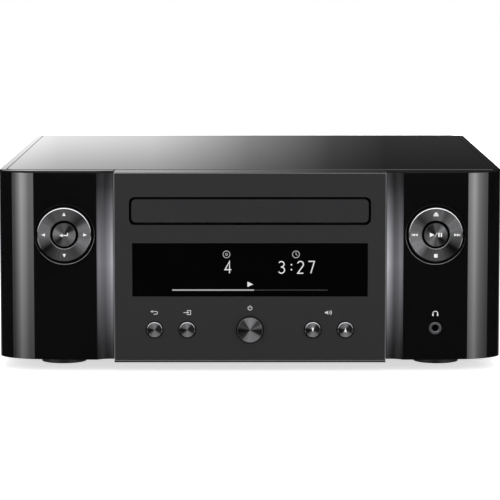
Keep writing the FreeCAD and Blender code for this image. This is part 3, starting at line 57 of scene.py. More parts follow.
def middle_of(node):
    """The middle of a solid's box."""
    low, high = box_of(node)
    return (low + high) / 2


def radius_of(node):
    """Half the width of a round solid."""
    low, high = box_of(node)
    return (high.x - low.x) / 2


# Finishes


class Finish:
    """A node material around one Principled shader, with helpers for what varies over the surface."""

    def __init__(self, name):
        self.material = bpy.data.materials.new(name)
        self.material.use_nodes = True
        self.nodes = self.material.node_tree.nodes
        self.links = self.material.node_tree.links
        self.shader = self.nodes["Principled BSDF"]
        self.place = self.nodes.new("ShaderNodeTexCoord").outputs["Object"]

    def set(self, **sockets):
        for name, number in sockets.items():
            self.shader.inputs[name.replace("_", " ")].default_value = number
        return self

    def mapped(self, scale=(1, 1, 1), turn=(0, 0, 0)):
        mapping = self.nodes.new("ShaderNodeMapping")
        mapping.inputs["Scale"].default_value = scale
        mapping.inputs["Rotation"].default_value = turn
        self.links.new(self.place, mapping.inputs["Vector"])
        return mapping.outputs["Vector"]

    def noise(self, scale, detail=3.0, stretch=(1, 1, 1)):
        """Noise over the object's own coordinates."""
        texture = self.nodes.new("ShaderNodeTexNoise")
        texture.inputs["Scale"].default_value = scale
        texture.inputs["Detail"].default_value = detail
        self.links.new(self.mapped(stretch), texture.inputs["Vector"])
        return texture.outputs["Fac"]

    def coordinate(self, axis):
        """The place along an axis of the object."""
        split = self.nodes.new("ShaderNodeSeparateXYZ")
        self.links.new(self.place, split.inputs["Vector"])
        return split.outputs[axis]

    def compute(self, operation, *sources):
        """The result of a math node on links or plain numbers."""
        node = self.nodes.new("ShaderNodeMath")
        node.operation = operation
        for socket, source in zip(node.inputs, sources):
            if isinstance(source, bpy.types.NodeSocket):
                self.links.new(source, socket)
            else:
                socket.default_value = source
        return node.outputs["Value"]

    def spread(self, source, low, high, start=0.0, end=1.0):
        """A factor that runs from start to end while its source runs from low to high."""
        run = self.nodes.new("ShaderNodeMapRange")
        for socket, number in zip(("From Min", "From Max", "To Min", "To Max"), (low, high, start, end)):
            run.inputs[socket].default_value = number
        self.links.new(source, run.inputs["Value"])
        return run.outputs["Result"]

    def ramp(self, factor, stops):
        """A colour that follows stops of (position, colour)."""
        ramp = self.nodes.new("ShaderNodeValToRGB")
        elements = ramp.color_ramp.elements
        elements[0].position, elements[0].color = stops[0][0], (*stops[0][1], 1)
        elements[1].position, elements[1].color = stops[-1][0], (*stops[-1][1], 1)
        for position, colour in stops[1:-1]:
            elements.new(position).color = (*colour, 1)
        self.links.new(factor, ramp.inputs["Fac"])
        return ramp.outputs["Color"]

    def grey(self, factor, stops):
        """A grey that follows stops of (position, level)."""
        return self.ramp(factor, [(position, (level,) * 3) for position, level in stops])

    def between(self, factor, low, high):
        """A colour that runs from low to high with the factor."""
        return self.ramp(factor, [(0.3, low), (0.7, high)])

    def times(self, first, second):
        """One colour multiplied by another."""
        mix = self.nodes.new("ShaderNodeMix")
        mix.data_type = "RGBA"
        mix.blend_type = "MULTIPLY"
        mix.inputs["Factor"].default_value = 1.0
        self.links.new(first, mix.inputs["A"])
        self.links.new(second, mix.inputs["B"])
        return mix.outputs["Result"]

    def colour(self, source):
        self.links.new(source, self.shader.inputs["Base Color"])

    def rough(self, factor, low, high):
        self.links.new(self.spread(factor, 0.0, 1.0, low, high), self.shader.inputs["Roughness"])

    def bump(self, factor, depth):
        bump = self.nodes.new("ShaderNodeBump")
        bump.inputs["Distance"].default_value = depth
        self.links.new(factor, bump.inputs["Height"])
        self.links.new(bump.outputs["Normal"], self.shader.inputs["Normal"])


def shade(colour, factor):
    return tuple(channel * factor for channel in colour)


def finish(name, colour, rough, spread=0.12, scale=300.0, grain=0.0, stretch=(1, 1, 1), **sockets):
    """A finish whose colour and roughness vary a little, with an optional grain of some depth."""
    made = Finish(name).set(**sockets)
    factor = made.noise(scale, stretch=stretch)
    made.colour(made.between(factor, shade(colour, 1 - spread), shade(colour, 1 + spread)))
    made.rough(factor, *rough)
    if grain:
        made.bump(factor, grain)
    return made.material


def spun(name, colour, anisotropy, fans):
    """A spun metal face: painted highlight fans of tone and fine streaks about its middle, and a real
    highlight that fans out.

    The fans are painted highlights: (degrees from the right side, share of the colour), from -180 to 180.
    """
    made = Finish(name).set(Metallic=0.3, Anisotropic=anisotropy)
    tangent = made.nodes.new("ShaderNodeTangent")
    tangent.direction_type = "RADIAL"
    tangent.axis = "Y"
    made.links.new(tangent.outputs["Tangent"], made.shader.inputs["Tangent"])
    fan = made.nodes.new("ShaderNodeTexGradient")
    fan.gradient_type = "RADIAL"
    made.links.new(made.mapped(turn=(-math.pi / 2, 0, 0)), fan.inputs["Vector"])
    # painted highlight: the fans lighten and darken the colour by angle about the middle
    stops = [(angle / 360 + 0.5, shade(colour, share)) for angle, share in fans]
    painted_highlight_fans = made.ramp(fan.outputs["Fac"], stops)
    streak = made.nodes.new("ShaderNodeTexNoise")
    streak.noise_dimensions = "1D"
    streak_scale, grain_scale = 70, 1400
    streak.inputs["Scale"].default_value = streak_scale
    made.links.new(fan.outputs["Fac"], streak.inputs["W"])
    grain = made.noise(grain_scale, detail=4)
    fine = made.times(made.between(grain, (0.84,) * 3, (1.0,) * 3),
                      made.between(streak.outputs["Fac"], (0.8,) * 3, (1.1,) * 3))
    made.colour(made.times(painted_highlight_fans, fine))
    made.rough(grain, 0.3, 0.4)
    return made.material


PANEL = finish("panel_coat", (0.024, 0.024, 0.0255), (0.5, 0.6), scale=2500, grain=0.00002,
               Specular_IOR_Level=0.2)
# A lighter grey for the painted highlight along the centre panel's bevel
PANEL_HIGHLIGHT = finish("panel_painted_highlight", (0.2, 0.2, 0.205), (0.3, 0.4), scale=900, Metallic=0.2)
PANEL_TOP = finish("panel_top_face", (0.02, 0.02, 0.021), (0.1, 0.16), scale=300, Specular_IOR_Level=0.5)
WING = finish("wing_gloss", (0.0035, 0.0035, 0.0038), (0.02, 0.03), scale=40, Specular_IOR_Level=0.5)
TOP = finish("top_gloss", (0.003, 0.003, 0.0035), (0.03, 0.05), scale=40, Specular_IOR_Level=0.5)
SHEET = finish("sheet_paint", (0.03, 0.03, 0.031), (0.4, 0.5), scale=1800, grain=0.00001)
WINDOW = finish("window_smoke", (0.0012, 0.0012, 0.0014), (0.04, 0.06), scale=60, Specular_IOR_Level=0.3)
RUBBER = finish("sole_rubber", (0.012, 0.012, 0.012), (0.5, 0.65), scale=700, grain=0.00003)
MOULDED = finish("moulded_black", (0.012, 0.012, 0.013), (0.35, 0.5), scale=1500, grain=0.00001)
ACETAL = finish("gear_acetal", (0.62, 0.6, 0.54), (0.35, 0.45), scale=500)
ZINC = finish("zinc_steel", (0.5, 0.51, 0.52), (0.25, 0.4), scale=200, stretch=(1, 8, 1), Metallic=1.0)
SINK = finish("sink_black", (0.03, 0.03, 0.032), (0.35, 0.45), scale=600, Metallic=0.6)
CAST = finish("cast_sled", (0.4, 0.4, 0.42), (0.4, 0.5), scale=800, grain=0.00001, Metallic=1.0)
LENS = finish("lens_clear", (0.1, 0.16, 0.3), (0.02, 0.04), scale=100, Coat_Weight=1.0)
BOARD = finish("solder_mask", (0.01, 0.07, 0.025), (0.3, 0.45), scale=120)
LAMINATE = finish("laminations", (0.06, 0.055, 0.05), (0.4, 0.6), scale=900, stretch=(1, 1, 12))
PRINT = finish("sign_print", (0.62, 0.62, 0.62), (0.4, 0.5), spread=0.04, scale=800)
WHITE_PRINT = finish("mark_print", (0.86, 0.86, 0.86), (0.4, 0.5), spread=0.03, scale=800)
# Matte black for painted shade, laid in gaps, seams, slots, recesses and on a dark edge
PAINTED_SHADE = finish("painted_shade_black", (0.0015, 0.0015, 0.0015), (0.7, 0.8), scale=500, Specular_IOR_Level=0.1)
LIP = finish("hole_lip", (0.1, 0.1, 0.103), (0.2, 0.3), scale=500, Metallic=0.3)
BRIGHT_METAL = finish("bright_edge", (0.6, 0.6, 0.62), (0.12, 0.2), scale=400, Metallic=1.0)
DULL_METAL = finish("dull_edge", (0.22, 0.22, 0.23), (0.25, 0.35), scale=400, Metallic=1.0)
JACK_METAL = finish("jack_edge", (0.12, 0.12, 0.125), (0.25, 0.35), scale=400, Metallic=0.5)
RED_CAP = finish("cap_red", (0.42, 0.015, 0.012), (0.18, 0.28), scale=200, Coat_Weight=0.4)
BLACK_CAP = finish("cap_black", (0.01, 0.01, 0.011), (0.18, 0.28), scale=200, Coat_Weight=0.4)
WHITE_RING = finish("ring_white", (0.75, 0.75, 0.73), (0.3, 0.4), scale=300)

# Each face's listed fans paint its highlights and shade into the colour, by angle about its middle
RING_TONE, KEY_TONE = (0.103, 0.103, 0.106), (0.19, 0.19, 0.195)
LEFT_RING_METAL = spun("left_ring_metal", RING_TONE, 0.6, [
    (-180, 1.9), (-160, 1.0), (-143, 0.0), (-100, 0.7), (-55, 0.5), (-22, 2.5), (-5, 1.9), (25, 2.0),
    (35, 0.5), (45, 0.2), (70, 0.8), (115, 0.9), (125, 0.6), (160, 2.0), (180, 1.9),
])
RIGHT_RING_METAL = spun("right_ring_metal", RING_TONE, 0.6, [
    (-180, 1.9), (-158, 2.9), (-140, 2.6), (-120, 0.6), (-75, 0.8), (-48, 0.1), (-36, 0.0), (12, 1.9),
    (35, 2.0), (62, 0.65), (75, 1.4), (135, 0.3), (158, 1.5), (180, 1.9),
])
OK_METAL = spun("ok_metal", RING_TONE, 0.6, [
    (-180, 2.2), (-140, 0.1), (-124, 0.2), (-100, 0.95), (-60, 0.85), (-20, 2.2), (18, 1.7), (32, 0.2),
    (56, 0.05), (78, 0.9), (102, 0.9), (118, 0.6), (135, 0.9), (160, 2.7), (180, 2.2),
])
PLAY_METAL = spun("play_metal", RING_TONE, 0.6, [
    (-180, 0.9), (-140, 1.5), (-120, 2.2), (-92, 0.6), (-74, 0.9), (-60, 0.2), (-40, 0.0), (0, 1.0),
    (38, 2.8), (66, 0.8), (98, 0.9), (108, 0.2), (140, 0.1), (180, 0.9),
])
KEY_METAL = spun("key_metal", KEY_TONE, 0.5, [
    (-180, 0.0), (-152, 0.1), (-120, 1.0), (-80, 1.3), (-40, 0.8), (-22, 0.1), (46, 0.1), (66, 1.0),
    (80, 1.35), (100, 1.35), (120, 0.85), (145, 0.85), (165, 0.15), (180, 0.0),
])
POWER_METAL = spun("power_metal", KEY_TONE, 0.5, [
    (-180, 0.0), (-131, 0.2), (-124, 1.0), (-100, 1.3), (-38, 1.1), (-24, 0.1), (0, 0.05), (20, 0.85),
    (36, 0.25), (50, 0.3), (57, 1.0), (80, 1.55), (112, 1.3), (128, 0.2), (158, 0.35), (180, 0.0),
])

NODE_FINISHES = {
    PANEL: ("centre_panel", "tray_front"),
    WING: ("left_front_wing", "right_front_wing", "left_side_panel", "right_side_panel"),
    TOP: ("top_plate",),
    SHEET: ("chassis_base", "inner_cover", "back_panel"),
    WINDOW: ("display_window",),
    RUBBER: ("feet",),
    MOULDED: (
        "disc_tray", "loader_frame", "left_ring_frame", "right_ring_frame", "headphone_jack", "cam_slider",
        "clamper", "mains_inlet", "speaker_terminals", "optical_sockets", "turntable", "return_button",
        "source_button", "volume_down_button", "volume_up_button", "power_button", "ok_button",
        "play_button", "left_ring", "right_ring",
    ),
    RED_CAP: ("terminal_cap_1", "terminal_cap_3"),
    BLACK_CAP: ("terminal_cap_2", "terminal_cap_4"),
    ACETAL: ("tray_gear", "motor_pinion"),
    ZINC: (
        "guide_rods", "loading_motor", "spindle_motor", "clamper_bridge", "traverse_frame",
        "network_socket", "usb_socket", "aerial_socket", "phono_sockets",
    ),
    SINK: ("heat_sink",),
    CAST: ("pickup_sled",),
    LENS: ("pickup_lens",),
    BOARD: (
        "main_board", "power_board", "front_board", "left_key_board", "right_key_board", "display_module",
    ),
    LAMINATE: ("power_transformer",),
}


def dress_solids():
    """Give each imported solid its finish."""
    for material, nodes in NODE_FINISHES.items():
        for node in nodes:
            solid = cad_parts[node]
            solid.data.materials.clear()
            solid.data.materials.append(material)


# Making pieces

SIGN_LIFT = 0.02 * MM
SIGN_THICKNESS = 0.05 * MM
MARK_THICKNESS = 0.2 * MM
# Search trees of the solids that wall_at has met
WALLS = {}


def mesh_from(name, skins, smooth_angle=None):
    """A mesh of skins, each a pair of rows of points and a word for how the rows end.

    A row runs round one section of the shape. "closed" joins the last row to the first, "capped" puts a
    face on both ends, and "open" leaves them. A row of one point is a tip, where its faces meet.
    """
    work = bmesh.new()
    for rows, ends in skins:
        rings = [[work.verts.new(point) for point in row] for row in rows]
        spans = list(zip(rings, rings[1:]))
        if ends == "closed":
            spans.append((rings[-1], rings[0]))
        if ends == "capped":
            work.faces.new(rings[0])
            work.faces.new(rings[-1])
        for first, second in spans:
            count = max(len(first), len(second))
            for step in range(count):
                after = (step + 1) % count
                corners = [first[step % len(first)], first[after % len(first)],
                           second[after % len(second)], second[step % len(second)]]
                work.faces.new(list(dict.fromkeys(corners)))
    bmesh.ops.recalc_face_normals(work, faces=work.faces)
    mesh = bpy.data.meshes.new(name)
    work.to_mesh(mesh)
    work.free()
    if smooth_angle:
        for polygon in mesh.polygons:
            polygon.use_smooth = True
        mesh.set_sharp_from_angle(angle=math.radians(smooth_angle))
    return mesh


def add(name, mesh, body, material, place=(0, 0, 0)):
    """A named piece with its finish that rides on a body."""
    piece = bpy.data.objects.new(name, mesh)
    piece.location = place
    bpy.context.scene.collection.objects.link(piece)
    mesh.materials.append(material)
    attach(piece, body)


def turned(name, profile, body, material, place, ends="closed", steps=SEGMENTS, front=None):
    """A piece turned about the Y direction through a place, from (radius, y offset) points.

    front, where it is given, gives each angle's own shift along Y, so that an edge can follow a curved wall.
    """
    rows = []
    for radius, along in profile:
        if radius == 0:
            rows.append([(0, along, 0)])
            continue
        row = []
        for step in range(steps):
            turn = WHOLE_TURN * step / steps
            shift = front(turn) if front else 0
            row.append((radius * math.cos(turn), along + shift, radius * math.sin(turn)))
        rows.append(row)
    add(name, mesh_from(name, [(rows, ends)], smooth_angle=25), body, material, place)


def band(inner, outer, front, back):
    """The section of a plain ring for turned."""
    return [(inner, front), (outer, front), (outer, back), (inner, back)]


def along_x(name, section, ends, material):
    """A piece of the casing with one section of (y, z) points between two places along X."""
    rows = [[(x, y, z) for y, z in section] for x in ends]
    add(name, mesh_from(name, [(rows, "capped")]), "casing", material)


def box_section(front, back, bottom, top):
    """The section of a box, of (y, z) points."""
    return [(front, bottom), (back, bottom), (back, top), (front, top)]


def marked(name, shapes, y, body, material, thickness=SIGN_THICKNESS):
    """Thin raised marks that face the front.

    A shape is an outline, a list of (x, z) points, or a stroke, a pair of its edges and how it ends.
    """
    skins = []
    for shape in shapes:
        if isinstance(shape, tuple):
            pairs, ends = shape
            rows = [[(left[0], y, left[1]), (right[0], y, right[1]), (right[0], y + thickness, right[1]),
                     (left[0], y + thickness, left[1])] for left, right in pairs]
        else:
            ends = "capped"
            rows = [[(x, depth, z) for x, z in shape] for depth in (y, y + thickness)]
        skins.append((rows, ends))
    add(name, mesh_from(name, skins), body, material)


def stroke(points, width, closed=False):
    """The two edges of a line of some width through points of (x, z), and how the line ends."""
    count = len(points)
    least_cosine = 0.4
    pairs = []
    for step, point in enumerate(points):
        here = Vector(point)
        ways = []
        if closed or step:
            ways.append((here - Vector(points[step - 1])).normalized())
        if closed or step < count - 1:
            ways.append((Vector(points[(step + 1) % count]) - here).normalized())
        along = sum(ways, Vector((0, 0))).normalized()
        reach = width / 2 / max(along.dot(ways[0]), least_cosine)
        across = Vector((-along.y, along.x)) * reach
        pairs.append((here + across, here - across))
    return pairs, "closed" if closed else "capped"


def arc(x, z, radius, start=0.0, turn=360.0, steps=24):
    """Points on an arc about (x, z), with its angles in degrees."""
    count = steps if abs(turn) >= 360 else steps + 1
    angles = [math.radians(start + turn * step / steps) for step in range(count)]
    return [(x + radius * math.cos(angle), z + radius * math.sin(angle)) for angle in angles]


def ring_line(x, z, radius, width, start=0.0, turn=360.0):
    return stroke(arc(x, z, radius, start, turn), width, closed=abs(turn) >= 360)


def bar(x, z, wide, high):
    left, right, bottom, top = x - wide / 2, x + wide / 2, z - high / 2, z + high / 2
    return [(left, bottom), (right, bottom), (right, top), (left, top)]


def arrow(x, z, long, wide, direction):
    """A small triangle that points along a direction of (x, z)."""
    ahead = Vector(direction) * long * 0.5
    across = Vector((-direction[1], direction[0])) * wide * 0.5
    middle = Vector((x, z))
    return [tuple(middle + ahead), tuple(middle - ahead + across), tuple(middle - ahead - across)]


def head(x, z, direction, size=1.3):
    """The head of an arrow in a sign, a little wider than long."""
    return arrow(x, z, size, size * 1.1, direction)


def placed(shapes, x, z):
    """Shapes in millimetres about their own middle, brought to metres about (x, z)."""

    def moved(point):
        return x + point[0] * MM, z + point[1] * MM

    ready = []
    for shape in shapes:
        if isinstance(shape, tuple):
            pairs, ends = shape
            ready.append(([(moved(left), moved(right)) for left, right in pairs], ends))
        else:
            ready.append([moved(point) for point in shape])
    return ready


def wall_at(node, x, z):
    """The place along Y where a line from the front meets a solid."""
    if node not in WALLS:
        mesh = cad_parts[node].data
        WALLS[node] = BVHTree.FromPolygons([vertex.co for vertex in mesh.vertices],
                                           [polygon.vertices for polygon in mesh.polygons])
    return WALLS[node].ray_cast(Vector((x, -1, z)), Vector((0, 1, 0)))[0].y


# Turned controls of the front

PANEL_Y = box_of("centre_panel")[0].y
EDGE = 0.35 * MM
KEY_EDGE = 0.2 * MM
PLATE = 0.35 * MM
RING_BORE = 7.7 * MM
RING_HOLE = 16.6 * MM


def make_face(node, inner, outer, metal, dish, edge_metal, edge=EDGE):
    """A thin turned metal plate on the front of a control, hollowed a little, with bevelled edges."""
    middle = middle_of(node)
    centre = (middle.x, box_of(node)[0].y, middle.z)
    steps = 8
    start = inner + EDGE if inner else 0.0
    end = outer - edge
    profile = []
    for step in range(steps + 1):
        share = step / steps
        fall = 1 - (2 * share - 1) ** 2 if inner else 1 - share ** 2
        profile.append((start + (end - start) * share, -PLATE + dish * fall))
    profile += [(end, 0.0), (start, 0.0)]
    turned(f"{node}_face", profile, node, metal, centre, "closed" if inner else "open")
    bevel = [(end, -PLATE), (outer, edge - PLATE), (outer, 0.0), (end, 0.0)]
    turned(f"{node}_rim", bevel, node, edge_metal, centre)
    if inner:
        bevel = [(start, -PLATE), (inner, 0.0), (start, 0.0)]
        turned(f"{node}_inner_rim", bevel, node, DULL_METAL, centre)


def make_keys():
    """The faces of the five keys of the centre panel, and a ring of painted shade in the gap about each."""
    flange, gap, gap_shade_width, dish = 1.3 * MM, 0.42 * MM, 0.22 * MM, 0.12 * MM
    for node in ("return_button", "source_button", "volume_down_button", "volume_up_button", "power_button"):
        middle = middle_of(node)
        collar = radius_of(node) - flange
        metal, edge_metal = (POWER_METAL, LIP) if node == "power_button" else (KEY_METAL, BRIGHT_METAL)
        make_face(node, 0.0, collar, metal, dish, edge_metal, KEY_EDGE)
        # painted shade: a black ring in the gap about the key
        gap_shade = band(collar + gap, collar + gap + gap_shade_width, -SIGN_LIFT, MM)
        turned(f"{node}_seat", gap_shade, "casing", PAINTED_SHADE, (middle.x, PANEL_Y, middle.z))


def recess_edge_highlight(name):
    """The thin edge of a ring's recess, with a painted highlight that brightens its lower half."""
    made = Finish(name).set(Metallic=0.3)
    # painted highlight: the edge is lighter towards the bottom
    height = made.spread(made.coordinate("Z"), -RING_HOLE, RING_HOLE)
    made.colour(made.grey(height, [(0.0, 0.5), (0.3, 0.45), (0.5, 0.15), (0.7, 0.04), (1.0, 0.04)]))
    made.rough(made.noise(500), 0.25, 0.35)
    return made.material


def make_rings():
    """The four-way rings' and centre buttons' faces, each recess's edge and painted shade on its floor."""
    inner, outer = RING_HOLE - 0.15 * MM, RING_HOLE + 0.1 * MM
    lip = [(inner, 0.05 * MM), (outer, -0.2 * MM), (outer, 0.5 * MM), (inner, 0.5 * MM)]
    reach = RING_HOLE + 0.5 * MM
    floor_gap, floor_depth, floor_thickness = 0.5 * MM, 2.6 * MM, 0.3 * MM
    for side, button, ring_metal, centre_metal in (
        ("left", "ok_button", LEFT_RING_METAL, OK_METAL),
        ("right", "play_button", RIGHT_RING_METAL, PLAY_METAL),
    ):
        node = f"{side}_ring"
        middle, radius = middle_of(node), radius_of(node)
        make_face(node, RING_BORE, radius, ring_metal, 0.1 * MM, BRIGHT_METAL)
        make_face(button, 0.0, radius_of(button), centre_metal, 0.08 * MM, LIP, KEY_EDGE)

        def wall(turn, x=middle.x, z=middle.z, wing=f"{side}_front_wing"):
            return wall_at(wing, x + reach * math.cos(turn), z + reach * math.sin(turn))

        name = f"{side}_recess_edge"
        turned(name, lip, "casing", recess_edge_highlight(f"{name}_tone"), (middle.x, 0, middle.z),
               front=wall)
        # painted shade: a black ring on the floor of the recess
        floor = band(radius + floor_gap, RING_HOLE, 0, floor_thickness)
        turned(f"{side}_recess_painted_shade", floor, "casing", PAINTED_SHADE,
               (middle.x, PANEL_Y + floor_depth, middle.z))


# The hollow strip beside the centre panel, from its outer edge to the panel
COVE_OUTER, COVE_INNER = 84.9 * MM, 75.72 * MM
# Levels of painted reflection across each strip, from its outer edge to the panel,
# and shares of them from its foot up
COVE_PAINTED_ACROSS = {
    "left": [(0.0, 0.14), (0.12, 0.24), (0.3, 0.18), (0.5, 0.18), (0.75, 0.38), (0.9, 0.58), (1.0, 0.42)],
    "right": [(0.0, 0.16), (0.15, 0.23), (0.35, 0.14), (0.55, 0.15), (0.75, 0.42), (0.92, 0.68), (1.0, 0.45)],
}
COVE_PAINTED_UP = [(0.0, 0.06), (0.08, 0.12), (0.25, 0.42), (0.4, 0.75), (0.52, 1.0), (0.64, 0.85), (0.8, 0.42),
           (0.93, 0.13), (1.0, 0.08)]


def cove_painted_light(side, sign, bottom, top):
    """The satin strip by the centre panel with a painted reflection, lighter near it and at half height."""
    made = Finish(f"{side}_cove_satin_painted_reflection").set(Specular_IOR_Level=0.1)
    across = made.spread(made.coordinate("X"), sign * COVE_OUTER, sign * COVE_INNER)
    up = made.spread(made.coordinate("Z"), bottom, top)
    blue = 1.04
    # painted reflection: the tones across and up the strip multiply into the colour
    painted_tones = [made.ramp(share, [(position, (level, level, level * blue)) for position, level in stops])
             for share, stops in ((across, COVE_PAINTED_ACROSS[side]), (up, COVE_PAINTED_UP))]
    made.colour(made.times(*painted_tones))
    made.rough(made.noise(500), 0.3, 0.4)
    return made.material


def make_coves():
    """A satin skin with a painted reflection over the hollow strip between each wing and the centre panel."""
    steps = 20
    lift, thickness, end_gap = 0.04 * MM, 0.3 * MM, 0.02 * MM
    for side, sign in SIDES:
        wing = f"{side}_front_wing"
        low, high = box_of(wing)
        bottom, top = low.z + end_gap, high.z - end_gap
        rows = []
        for step in range(steps + 1):
            x = sign * (COVE_OUTER + (COVE_INNER - COVE_OUTER) * step / steps)
            wall = wall_at(wing, x, (low.z + high.z) / 2)
            rows.append([(x, y, z) for y, z in box_section(wall - lift, wall + thickness, bottom, top)])
        name = f"{side}_cove"
        add(name, mesh_from(name, [(rows, "capped")], smooth_angle=30), "casing",
            cove_painted_light(side, sign, low.z, high.z))


def wing_strip(name, side, sign, near, far, material):
    """A strip on top of a wing that follows its front, between two shares of its depth at two heights.

    near and far are (share of the depth, height over the wing).
    """
    wing = f"{side}_front_wing"
    high = box_of(wing)[1]
    start_x, reach_x, steps = 75.9 * MM, 62.3 * MM, 60
    wall_inset, wall_drop, back_inset, lift = 0.25 * MM, 0.1 * MM, 3 * MM, 0.01 * MM
    back, base = high.y - back_inset, high.z + lift
    start_z, end_z = high.z + near[1], high.z + far[1]
    rows = []
    for step in range(steps + 1):
        x = sign * (start_x + reach_x * step / steps)
        wall = wall_at(wing, x, high.z - wall_drop) + wall_inset
        start, end = (wall + (back - wall) * share for share, _ in (near, far))
        rows.append([(x, start, base), (x, start, start_z), (x, end, end_z), (x, end, base)])
    add(name, mesh_from(name, [(rows, "capped")], smooth_angle=20), "casing", material)


def make_wing_caps():
    """The flush upper face of each wing and a matte black slope of painted shade in front of it."""
    rise, front_rise = 0.55 * MM, 0.08 * MM
    shoulder_end, cap_start = 0.55, 0.56
    for side, sign in SIDES:
        # painted shade: the matte black slope makes the wing's front edge read dark
        wing_strip(f"{side}_wing_shoulder", side, sign, (0.0, front_rise), (shoulder_end, rise), PAINTED_SHADE)
        wing_strip(f"{side}_wing_cap", side, sign, (cap_start, rise), (1.0, rise), TOP)


def make_jack():
    """The metal ring about the headphone socket, with a bright edge at its bore."""
    middle = middle_of("headphone_jack")
    place = (middle.x, box_of("headphone_jack")[0].y, middle.z)
    outer, inner, bevel = 3.4 * MM, 1.8 * MM, 0.35 * MM
    ring = [(inner + bevel, 0), (inner + bevel, -bevel), (outer - bevel, -bevel), (outer, 0)]
    turned("jack_ring", ring, "casing", JACK_METAL, place)
    lip = [(inner, 0), (inner + bevel, -bevel), (inner + bevel, 0)]
    turned("jack_lip", lip, "casing", DULL_METAL, place)


def front_corners(low, high, reach):
    """The four corners of a box seen from the front, moved outwards by some reach."""
    left, right, bottom, top = low.x - reach, high.x + reach, low.z - reach, high.z + reach
    return [(left, bottom), (right, bottom), (right, top), (left, top)]


def make_panel_faces():
    """The smooth upper face and the lower lip of the centre panel."""
    low, high = box_of("centre_panel")
    side_gap, front_gap, skin = 0.1 * MM, 0.3 * MM, 0.06 * MM
    upper = box_section(low.y + front_gap, high.y, high.z, high.z + skin)
    along_x("panel_top_face", upper, (low.x + side_gap, high.x - side_gap), PANEL_TOP)
    lip_front, lip_slope, lip_drop = 0.15 * MM, 0.8 * MM, 0.9 * MM
    lip = [(low.y + lip_front, low.z), (low.y + lip_slope, low.z - lip_drop), (high.y, low.z - lip_drop),
           (high.y, low.z)]
    along_x("panel_lower_lip", lip, (low.x, high.x), PANEL)


def make_top_trim():
    """The bevelled front edge of the top plate and a strip of painted shade in the seam on each side of it.
    """
    low, high = box_of("top_plate")
    side_low, side_high = box_of("right_side_panel")
    bevel = 0.3 * MM
    front, back = low.y - bevel, low.y - SIGN_LIFT
    edge = [(front, high.z - bevel * 2), (front, high.z - bevel), (back, high.z), (back, high.z - bevel * 2)]
    along_x("top_front_edge", edge, (low.x, high.x), TOP)
    gap, drop = 0.01 * MM, 0.1 * MM
    seam = box_section(low.y, side_high.y, low.z, high.z - drop)
    # painted shade: a black strip fills each seam
    for side, sign in SIDES:
        across = sorted((sign * (high.x + gap), sign * (side_low.x - gap)))
        along_x(f"{side}_seam", seam, across, PAINTED_SHADE)


def make_panel_edges():
    """A frame of painted shade behind the tray's slot and a painted highlight on the centre panel's bevel."""
    low, high = box_of("disc_tray")
    gap, reach, depth, thickness = 0.5 * MM, 5 * MM, 3 * MM, 0.3 * MM
    shade = list(zip(front_corners(low, high, reach), front_corners(low, high, gap)))
    # painted shade: a black frame about the tray in its slot
    marked("slot_shade", [(shade, "closed")], PANEL_Y + depth, "casing", PAINTED_SHADE, thickness)
    inset, width = 0.22 * MM, 0.4 * MM
    bevel = stroke(front_corners(*box_of("centre_panel"), -inset), width, closed=True)
    # painted highlight: a light line on the flat front where the bevel would catch the light
    marked("panel_bevel", [bevel], PANEL_Y - SIGN_LIFT, "casing", PANEL_HIGHLIGHT)


# Signs and display, with the shapes in millimetres about the middle of each

LINE = 0.36


def mark_control(name, node, shapes):
    """Raised marks on the metal face of a control."""
    middle = middle_of(node)
    marked(name, placed(shapes, middle.x, middle.z), box_of(node)[0].y - PLATE - SIGN_LIFT, node, WHITE_PRINT,
           MARK_THICKNESS)


def make_key_signs():
    """Plain symbols over the small keys, arrows on the volume keys and the power sign."""
    level, power_level = 33.1 * MM, 35.6 * MM
    bend = arc(0.9, -0.15, 0.75, 90, -180, 10)[1:]
    back = [stroke([(-1.4, 0.6), (0.9, 0.6), *bend, (-0.5, -0.9)], LINE), head(-1.7, 0.6, (-1, 0))]
    source = [stroke([(-0.2, 1.1), (1.9, 1.1), (1.9, -1.1), (-0.2, -1.1)], LINE),
              stroke([(-2.1, 0), (0.2, 0)], LINE), head(0.5, 0, (1, 0))]
    speaker = [bar(-1.9, 0, 0.8, 0.9), [(-1.5, -0.45), (-0.5, -1.15), (-0.5, 1.15), (-1.5, 0.45)]]
    speaker += [ring_line(-0.5, 0, radius, LINE, -45, 90) for radius in (1.0, 1.8)]
    power = [ring_line(0, 0, 1.1, LINE, 125, 290), bar(0, 0.8, LINE, 1.5)]
    speaker_x = (middle_of("volume_down_button").x + middle_of("volume_up_button").x) / 2
    shapes = [
        *placed(back, middle_of("return_button").x, level),
        *placed(source, middle_of("source_button").x, level),
        *placed(speaker, speaker_x, level),
        *placed(power, 0, power_level),
    ]
    marked("key_signs", shapes, PANEL_Y - SIGN_LIFT, "casing", PRINT)
    for node, way in (("volume_down_button", -1), ("volume_up_button", 1)):
        mark_control(f"{node}_mark", node, [arrow(0, 0, 2.5, 1.5, (0, way))])


